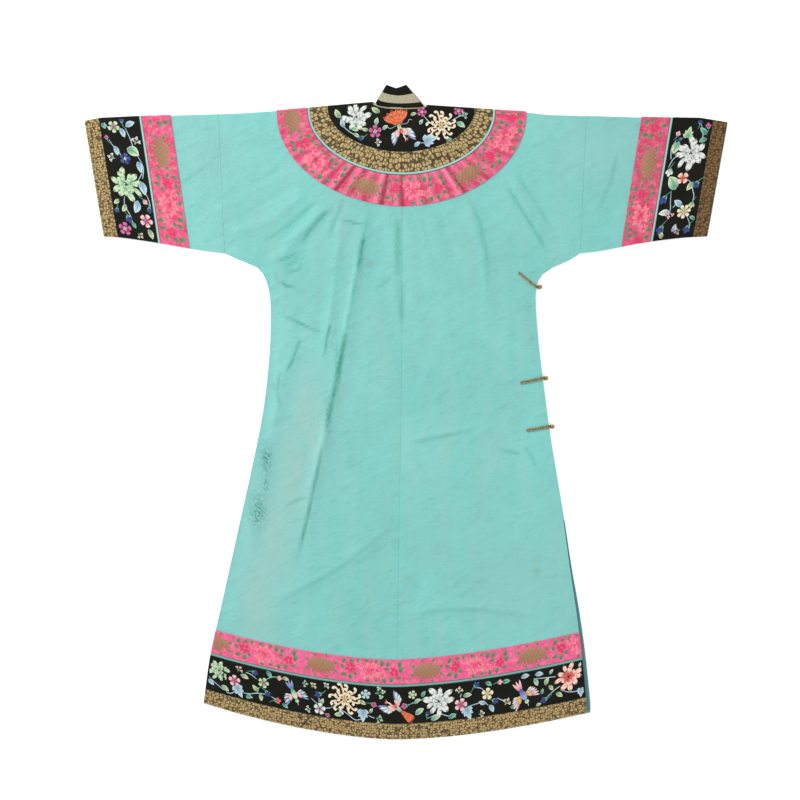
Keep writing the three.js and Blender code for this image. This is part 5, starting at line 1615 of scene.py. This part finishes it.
    def sprig(self, u, v, size, turn, thread="teal", berry="white"):
        """A twig with small berries or buds."""
        tips = []
        for spread, far in ((-0.6, 0.8), (0.1, 1.0), (0.75, 0.75)):
            tips.append(self.turned(u, v, far * size, turn + spread))
            middle = self.turned(u, v, 0.5 * far * size, turn + 0.5 * spread)
            self.strand([(u, v), middle, tips[-1]], 0.8, thread)
        self.level = 1
        for tip in tips:
            for k in range(3):
                self.spoke(*tip, 0, 0.26 * size, turn + k * 2.1, 0.26 * size, berry)
        self.level = 0

    def ivy(self, u, v, size, turn, thread="sky"):
        """A lobed leaf."""
        root = self.turned(u, v, -0.3 * size, turn)
        for spread, far, wide in ((1.15, 0.6, 0.38), (0.55, 0.8, 0.34), (0, 1.15, 0.5)):
            for side in (-1, 1) if spread else (1,):
                self.spoke(*root, 0, far * size, turn + side * spread, wide * size, thread, POINTED, vein=0.5,
                           edge=-0.4)
                self.level += 0.5
        self.level = 0

    def chrysanthemum(self, u, v, size, turn, thread="cream"):
        """A shaggy flower of thin petals whose thick ends curl to one side, round an olive heart."""
        for side, count, low, high in ((1, 12, 0.46, 1.0), (-1, 9, 0.24, 0.64), (1, 7, 0.08, 0.36)):
            for k in range(count):
                angle = turn + (k + 0.5 * side + self.jitter(0.35)) * 2 * math.pi / count
                far = size * high * (1 + self.jitter(0.14))
                path = []
                for out, aside in ((0.0, 0.0), (0.45, -0.02), (0.82, 0.0), (1.0, 0.10), (0.9, 0.22)):
                    tip = self.turned(u, v, lerp(low * size, far, out), angle)
                    aside *= side * size
                    path.append((tip[0] - aside * math.sin(angle), tip[1] + aside * math.cos(angle)))
                self.strand(path, 0.19 * size, thread, 0.1, 3, 0.6)
        self.level = 1
        for k in range(7):
            self.spoke(u, v, 0, 0.14 * size, turn + k * 0.9, 0.08 * size, "gold")
        self.level = 0

    def wing(self, u, v, size, turn, spread, inner, outer):
        """A fan of feathers."""
        for k in range(6):
            angle = turn + spread * k / 5
            far = size * (1 - 0.08 * k)
            self.level = 0.5 * (k % 2)
            self.spoke(u, v, 0, 0.5 * far, angle, 0.16 * size, inner, BLUNT, edge=0.8)
            self.petal(self.turned(u, v, 0.36 * far, angle), self.turned(u, v, far, angle + 0.05 * spread),
                       0.15 * size, "white" if k % 2 else outer, POINTED, edge=1.0)
        self.level = 0

    def bird(self, u, v, size, turn, body, wings, feathers):
        """A small bird in flight, heading along turn."""
        rump = self.turned(u, v, -0.2 * size, turn)
        for spread in (-0.25, 0.0, 0.25):
            self.petal(rump, self.turned(u, v, -size, turn + spread), 0.16 * size, feathers, POINTED)
        for side in (-1, 1):
            root = self.turned(u, v, 0.12 * size, turn + side * 0.9)
            self.wing(*root, size, turn + side * 0.9, side * 1.0, wings, feathers)
        self.level = 2
        self.spoke(u, v, -0.45 * size, 0.42 * size, turn, 0.36 * size, body)
        self.level = 3
        head = self.turned(u, v, 0.5 * size, turn)
        self.spoke(*head, -0.16 * size, 0.16 * size, turn, 0.27 * size, "mint")
        beak = [self.turned(*head, 0.12 * size, turn), self.turned(*head, 0.34 * size, turn - 0.1)]
        self.strand(beak, 1.0, "cream")
        self.level = 0

    def phoenix(self, u, v, size, turn, fan):
        """A crested bird with a curved neck, two long wings and tail feathers that lie fan radians apart."""
        back = turn + math.pi
        for row, count in ((1.0, 6), (0.72, 5), (0.46, 4)):
            for k in range(count):
                angle = back + (k - (count - 1) / 2) * fan
                self.level = 0.6 * (k % 2) + (1.0 - row) * 3
                self.petal(self.turned(u, v, 0.25 * size, back), self.turned(u, v, row * 1.25 * size, angle),
                           (0.15 + fan) * size, "orange", BLUNT, frill=0.12, vein=0.7, edge=0.9)
        for side in (-1, 1):
            root = self.turned(u, v, 0.08 * size, turn)
            self.wing(*root, (1.25 + 0.06 * side) * size, turn + side * 0.65, side * 0.6, "pink", "azure")
            if fan > 0.1:
                streamer = [self.turned(u, v, far * size, back - side * bend) for far, bend in
                            ((0.25, 0.3), (0.6, 1.3), (0.85, 1.15), (1.0, 1.3))]
                self.strand(streamer, 0.035 * size, "sky", 0.4)
        self.level = 2
        self.spoke(u, v, -0.42 * size, 0.25 * size, turn, 0.26 * size, "mint", vein=0.4)
        self.level = 3
        breast = self.turned(u, v, 0.4 * size, turn + 0.2)
        self.petal(self.turned(u, v, 0.02 * size, turn), breast, 0.2 * size, "red")
        neck = [self.turned(u, v, far * size, turn + bend) for far, bend in
                ((0.3, 0.1), (0.48, 0.28), (0.62, 0.18), (0.78, 0.22))]
        self.strand(neck, 0.09 * size, "cream", 0.3)
        head = neck[-1]
        self.spoke(*head, -0.06 * size, 0.12 * size, turn, 0.11 * size, "cream")
        for spread in (0.5, 0.9, 1.3):
            self.spoke(*head, 0, 0.22 * size, turn + spread, 0.05 * size, "red", POINTED)
        beak = [self.turned(*head, 0.1 * size, turn), self.turned(*head, 0.24 * size, turn - 0.4)]
        self.strand(beak, 0.9, "gold")
        self.level = 0

    def petal_spray(self, u, v, size, turn, thread):
        """A woven flower: loose petals of one colour."""
        for count, reach in ((9, 1.0), (6, 0.62)):
            for k in range(count):
                angle = turn + (k + self.jitter(0.5)) * 2 * math.pi / count
                far = size * reach * (1 + self.jitter(0.3))
                self.spoke(u, v, 0.25 * far, far, angle, 0.42 * size, thread, BLUNT, self.jitter(0.4), 0.16)

    def lattice(self, u, v, size, _, thread):
        """A rounded medallion of crossing bars with petals round it and a scroll at each corner."""
        for k in range(-3, 4):
            at, half = u + 0.3 * k * size, size * (0.74 - 0.04 * k * k)
            self.petal((at, v - half), (at, v + half), 0.42 * size, "woven_tan", (0.3, 0.3))
        self.level = 0.7
        for k in range(-3, 4):
            reach = size * math.sqrt(1 - (k / 4.2) ** 2)
            for lean in (-1, 1):
                at = k * size / 3.2
                path = [(u + at + lean * side * reach * 0.5, v + side * reach * 0.66) for side in (-1, 0, 1)]
                self.strand(path, 1.7, "woven_green" if k % 2 else thread, 0.2)
        for k in range(8):
            angle = (k + 0.5) * 2 * math.pi / 8
            at = (u + 1.15 * size * math.cos(angle), v + 0.8 * size * math.sin(angle))
            self.spoke(*at, 0, 0.3 * size, angle + self.jitter(2), 0.22 * size, "woven_green")
        self.level = 0
        for across in (-1, 1):
            for up in (-1, 1):
                path = [(u + across * size * a, v + up * size * b) for a, b in
                        ((1.1, 0.4), (1.32, 0.45), (1.42, 0.68), (1.24, 0.82), (1.14, 0.65))]
                self.strand(path, 1.3, "woven_green", 0.3)

    def make(self, name, finish_name, slot):
        """The object that holds all the patches."""
        u, v = np.concatenate(self.places).T
        x, y, *raised = self.place(np.clip(u, *self.reach), v)
        rise = np.concatenate(self.heights) + sum(raised)
        z = np.maximum(FACE_RECESS - rise, 0.02) if self.front else back_z(x, y) + BAND_TOP + rise
        points = np.stack([x, y, z], 1)
        weave, colours = np.concatenate(self.weaves), np.concatenate(self.colours)
        piece = make_object(name, points, self.faces, finish_name, weave, colours, 60)
        form = bmesh.new()
        form.from_mesh(piece.data)
        bmesh.ops.recalc_face_normals(form, faces=form.faces)
        form.to_mesh(piece.data)
        form.free()
        finish_piece(piece, slot)


def on_hem(start):
    """Places on a band of the hem: distance from the centre seam, and height in the band."""
    def place(u, v):
        below = hem_below(u, start + v)
        x = np.clip(u, EDGE_MARGIN - side_edge(-1, below), side_edge(1, below) - EDGE_MARGIN)
        return x, -hem_below(x, start + v)
    return place


def on_cuff(side, start):
    """Places on a band of a cuff: distance down from the shoulder, and in from the band's outer edge."""
    def place(u, v):
        top, bottom = CUFF_TOP[side] - start - v, CUFF_BOTTOM[side] - start - v
        share = u / CUFF_DEPTH
        low = -read(UNDER_SLEEVE[side], 1, bottom)
        return side * lerp(top, bottom, share), lerp(shoulder(side * top), low, share)
    return place


def on_yoke_satin(u, v):
    """Places on the yoke's black satin, kept below the shoulder's fold."""
    return u, np.minimum(v, shoulder(u) + 0.5)


def on_yoke_ribbon(front):
    """Places on the yoke's pink ribbon: distance from its middle, and distance in from its outer edge."""
    turns = np.linspace(0, 180, 181)
    outer, inner = np.array(RINGS["yoke_pink"], float), np.array(RINGS["yoke_piping"], float)
    x, y = yoke_plan((outer + inner) / 2, turns, front)
    along = np.concatenate([[0], np.cumsum(np.hypot(np.diff(x), np.diff(y)))])
    along -= np.interp(90, turns, along)
    width = outer[0] - inner[0]

    def place(u, v):
        turn = np.interp(u, along, turns)
        ox, oy = yoke_plan(outer, turn, front)
        ix, iy = yoke_plan(inner, turn, front)
        gathered = 0 if front else pucker_height(turn, v / width)
        return lerp(ox, ix, v / width), lerp(oy, iy, v / width), gathered
    return place


def work_band(name, place, reach, front, table, stems):
    """Works a table's rows on a band. Their kinds are the names of the motifs above."""
    work = Needlework(place, reach, front)
    work.level = -0.5
    for path in stems:
        work.strand(np.reshape(path, (-1, 2)), 1.5, "sky", 0.4)
    work.level = 0
    for kind, u, v, size, turn, *threads in table:
        getattr(work, kind)(u, v, size, math.radians(turn), *threads)
    work.make(name, "embroidery_silk", "black_satin")


def work_embroidery():
    gold = HEM_BANDS["gold"]
    cuffs = {-1: (LEFT_CUFF_WORK, LEFT_CUFF_STEMS), 1: (RIGHT_CUFF_WORK, RIGHT_CUFF_STEMS)}
    for layer in ("back", "front"):
        front = layer == "front"
        work_band(f"hem_embroidery_{layer}", on_hem(gold), HEM_REACH, front, HEM_WORK, HEM_STEMS)
        for side, name in SIDE_NAMES.items():
            place = on_cuff(side, CUFF_BANDS["gold"])
            work_band(f"cuff_embroidery_{name}_{layer}", place, CUFF_REACH, front, *cuffs[side])
    joint = Needlework(on_hem(0), HEM_REACH, thick=0.15)
    joint.strand(HEM_JOINT, 2.4, "shadow", 0.1)
    joint.make("hem_gold_joint", "embroidery_silk", "gold_brocade")
    work_band("yoke_embroidery_back", on_yoke_satin, YOKE_REACH, False, YOKE_WORK, YOKE_STEMS)
    work_band("yoke_embroidery_front", on_yoke_satin, YOKE_REACH, True, YOKE_FRONT_WORK, YOKE_FRONT_STEMS)


def weave_ribbon(name, place, front, start, reach, wide):
    """Figures of the pink ribbon, repeated each way from a start as far as the ribbon reaches."""
    work = Needlework(place, reach, front, 0.08)
    low, high = reach
    for repeat in range(-2, 4):
        for kind, u, v, size, turn, *threads in RIBBON_WORK:
            at = start + repeat * RIBBON_REPEAT + u
            if low < at < high:
                getattr(work, kind)(at, v * wide / HEM_BANDS["pink"], size, math.radians(turn), *threads)
    work.make(name, "ribbon_figures", "pink_ribbon")


def weave_ribbons():
    on_hem_ribbon = on_hem(HEM_STACK - HEM_BANDS["pink"])
    for layer in ("back", "front"):
        front = layer == "front"
        weave_ribbon(f"hem_ribbon_figures_{layer}", on_hem_ribbon, front, HEM_RIBBON_START, HEM_RIBBON_REACH,
                     HEM_BANDS["pink"])
        for side, name in SIDE_NAMES.items():
            place = on_cuff(side, CUFF_STACK - CUFF_BANDS["pink"])
            weave_ribbon(f"cuff_ribbon_figures_{name}_{layer}", place, front, CUFF_RIBBON_START[side],
                         CUFF_REACH, CUFF_BANDS["pink"])
        weave_ribbon(f"yoke_ribbon_figures_{layer}", on_yoke_ribbon(front), front, YOKE_RIBBON_START,
                     YOKE_RIBBON_REACH, YOKE_RIBBON_WIDTH)


# ---------------------------------------------------------------- the stage
def make_stage(look):
    scene = bpy.context.scene
    scene.view_settings.view_transform = "Standard"
    world = bpy.data.worlds.new("soft_room")
    world.use_nodes = True
    background = world.node_tree.nodes["Background"]
    background.inputs["Color"].default_value = (1.0, 1.0, 1.0, 1.0)
    background.inputs["Strength"].default_value = look.room_light
    scene.world = world

    s = Shader("pale_floor")
    tone = s.ramp(s.noise(s.object_place(), 3.0, 2.0), 0.3, 0.7)
    s.done(s.mix(tone, (0.93, 0.93, 0.93), (0.95, 0.95, 0.95)), 0.9, Specular_IOR_Level=0.1,
           Emission_Color=(1, 1, 1, 1), Emission_Strength=FLOOR_GLOW)
    mesh = bpy.data.meshes.new("floor")
    half = FLOOR_SIDE / 2
    corners = [(-half, -half), (half, -half), (half, half), (-half, half)]
    mesh.from_pydata([(x, y, -FLOOR_GAP) for x, y in corners], [], [(0, 1, 2, 3)])
    mesh.materials.append(s.material)
    add_object("floor", mesh)

    for name, place, size, watts in STUDIO_LIGHTS:
        data = bpy.data.lights.new(name, "AREA")
        data.shape = "DISK"
        data.size = size
        data.energy = watts
        lamp = add_object(name, data, place)
        lamp.rotation_euler = (-Vector(place)).to_track_quat("-Z", "Y").to_euler()

    camera = bpy.data.cameras.new("straight_down")
    camera.sensor_width = SENSOR
    camera.lens = look.lens
    height = VIEW_WIDTH * look.lens / SENSOR + BACK_MID * MM
    scene.camera = add_object("straight_down", camera, (*VIEW_CENTRE, height))


# ---------------------------------------------------------------- what a user would change
class RobeMeasures(PropertyGroup):
    cell: FloatProperty(name="Cloth Cell", description="Width of one face of the cloth", default=0.0040,
                        min=0.003, max=0.02, unit="LENGTH")


def shade(name, description, *rgb):
    """A colour that a user can change, and its default in display shades of 0 to 255."""
    return FloatVectorProperty(name=name, description=description, default=linear(*rgb), size=3,
                               subtype="COLOR", min=0, max=1)


class RobeColours(PropertyGroup):
    silk: shade("Silk", "Turquoise silk where it isn't faded", 117, 190, 183)
    silk_faded: shade("Faded Silk", "The silk where light and wear have greyed it", 150, 190, 184)
    pink: shade("Pink Ribbon", "Ground of the pink ribbon", 224, 92, 134)
    pink_deep: shade("Deep Pink", "The pink ribbon's deeper figures", 204, 40, 88)
    pink_pale: shade("Pale Pink", "The pink ribbon's raised blossoms", 232, 140, 150)
    black: shade("Black Satin", "Ground of the embroidered bands", 15, 15, 10)
    gold: shade("Gold Brocade", "Gold threads of the brocade", 170, 144, 92)
    piping: shade("Aqua Piping", "The thin piping beside the bands", 164, 204, 196)
    lining: shade("Lining", "The dark silk inside the robe", 84, 128, 132)
    brass: shade("Brass", "The ball buttons", 196, 160, 92)


class RobeStage(PropertyGroup):
    lens: FloatProperty(name="Lens", description="Focal length of the camera above the robe", default=85.0,
                        min=35.0, subtype="DISTANCE_CAMERA")
    room_light: FloatProperty(name="Room Light", description="Strength of the even light of the room",
                              default=0.75, min=0.0)


def cell():
    return bpy.context.scene.robe_measures.cell / MM


class ROBE_OT_stage(Operator):
    """Add the floor, the lights and the camera"""

    bl_idname = "robe.stage"
    bl_label = "Add Stage"

    def execute(self, context):
        make_stage(context.scene.robe_stage)
        return {"FINISHED"}


class ROBE_OT_lengths(Operator):
    """Add the two lengths of silk that run from the back hem over the shoulders to the front hem"""

    bl_idname = "robe.lengths"
    bl_label = "Add Silk Lengths"

    def execute(self, context):
        for side in (-1, 1):
            make_length(side, cell())
        return {"FINISHED"}


class ROBE_OT_overlap(Operator):
    """Add the overlapping front and the lining that shows past it"""

    bl_idname = "robe.overlap"
    bl_label = "Add Overlap"

    def execute(self, context):
        make_overlap(2 * cell())
        make_overlap_lining()
        return {"FINISHED"}


class ROBE_OT_sleeves(Operator):
    """Add the sleeve extensions"""

    bl_idname = "robe.sleeves"
    bl_label = "Add Sleeves"

    def execute(self, context):
        for side in (-1, 1):
            make_sleeve(side, cell())
        return {"FINISHED"}


class ROBE_OT_hem_bands(Operator):
    """Add the ribbon, piping, satin and brocade of the hem"""

    bl_idname = "robe.hem_bands"
    bl_label = "Add Hem Bands"

    def execute(self, context):
        make_hem_bands(cell())
        return {"FINISHED"}


class ROBE_OT_cuff_bands(Operator):
    """Add the ribbon, piping, satin and brocade of the cuffs"""

    bl_idname = "robe.cuff_bands"
    bl_label = "Add Cuff Bands"

    def execute(self, context):
        for side in (-1, 1):
            make_cuff_bands(side, cell())
        return {"FINISHED"}


class ROBE_OT_yoke(Operator):
    """Add the rings of the round yoke"""

    bl_idname = "robe.yoke"
    bl_label = "Add Yoke"

    def execute(self, context):
        make_yoke(cell())
        return {"FINISHED"}


class ROBE_OT_collar(Operator):
    """Add the stand collar and its ribbon"""

    bl_idname = "robe.collar"
    bl_label = "Add Collar"

    def execute(self, context):
        make_collar()
        return {"FINISHED"}


class ROBE_OT_embroidery(Operator):
    """Work the flowers and birds of the black satin bands"""

    bl_idname = "robe.embroidery"
    bl_label = "Add Embroidery"

    def execute(self, context):
        work_embroidery()
        return {"FINISHED"}


class ROBE_OT_ribbon_figures(Operator):
    """Weave the medallions, leaves and flowers of the pink ribbons"""

    bl_idname = "robe.ribbon_figures"
    bl_label = "Add Ribbon Figures"

    def execute(self, context):
        weave_ribbons()
        return {"FINISHED"}


class ROBE_OT_closures(Operator):
    """Add the three cord loops, their brass balls and the straps under them"""

    bl_idname = "robe.closures"
    bl_label = "Add Closures"

    def execute(self, context):
        for closure in CLOSURES:
            make_closure(*closure)
        return {"FINISHED"}


STEPS = (
    ROBE_OT_stage,
    ROBE_OT_lengths,
    ROBE_OT_overlap,
    ROBE_OT_sleeves,
    ROBE_OT_hem_bands,
    ROBE_OT_cuff_bands,
    ROBE_OT_yoke,
    ROBE_OT_collar,
    ROBE_OT_embroidery,
    ROBE_OT_ribbon_figures,
    ROBE_OT_closures,
)


class ROBE_PT_panel(Panel):
    """Lists the steps that make the robe"""

    bl_label = "Silk Robe"
    bl_space_type = "VIEW_3D"
    bl_region_type = "UI"
    bl_category = "Robe"

    def draw(self, context):
        scene = context.scene
        for group in (scene.robe_measures, scene.robe_colours, scene.robe_stage):
            for name in group.bl_rna.properties.keys():
                if name not in ("rna_type", "name"):
                    self.layout.prop(group, name)
        for step in STEPS:
            self.layout.operator(step.bl_idname)


CLASSES = (RobeMeasures, RobeColours, RobeStage, *STEPS, ROBE_PT_panel)


def register():
    for cls in CLASSES:
        bpy.utils.register_class(cls)
    bpy.types.Scene.robe_measures = PointerProperty(type=RobeMeasures)
    bpy.types.Scene.robe_colours = PointerProperty(type=RobeColours)
    bpy.types.Scene.robe_stage = PointerProperty(type=RobeStage)


def unregister():
    del bpy.types.Scene.robe_stage
    del bpy.types.Scene.robe_colours
    del bpy.types.Scene.robe_measures
    for cls in reversed(CLASSES):
        bpy.utils.unregister_class(cls)


def main():
    register()
    for step in STEPS:
        family, name = step.bl_idname.split(".")
        getattr(getattr(bpy.ops, family), name)()


if __name__ == "__main__":
    main()
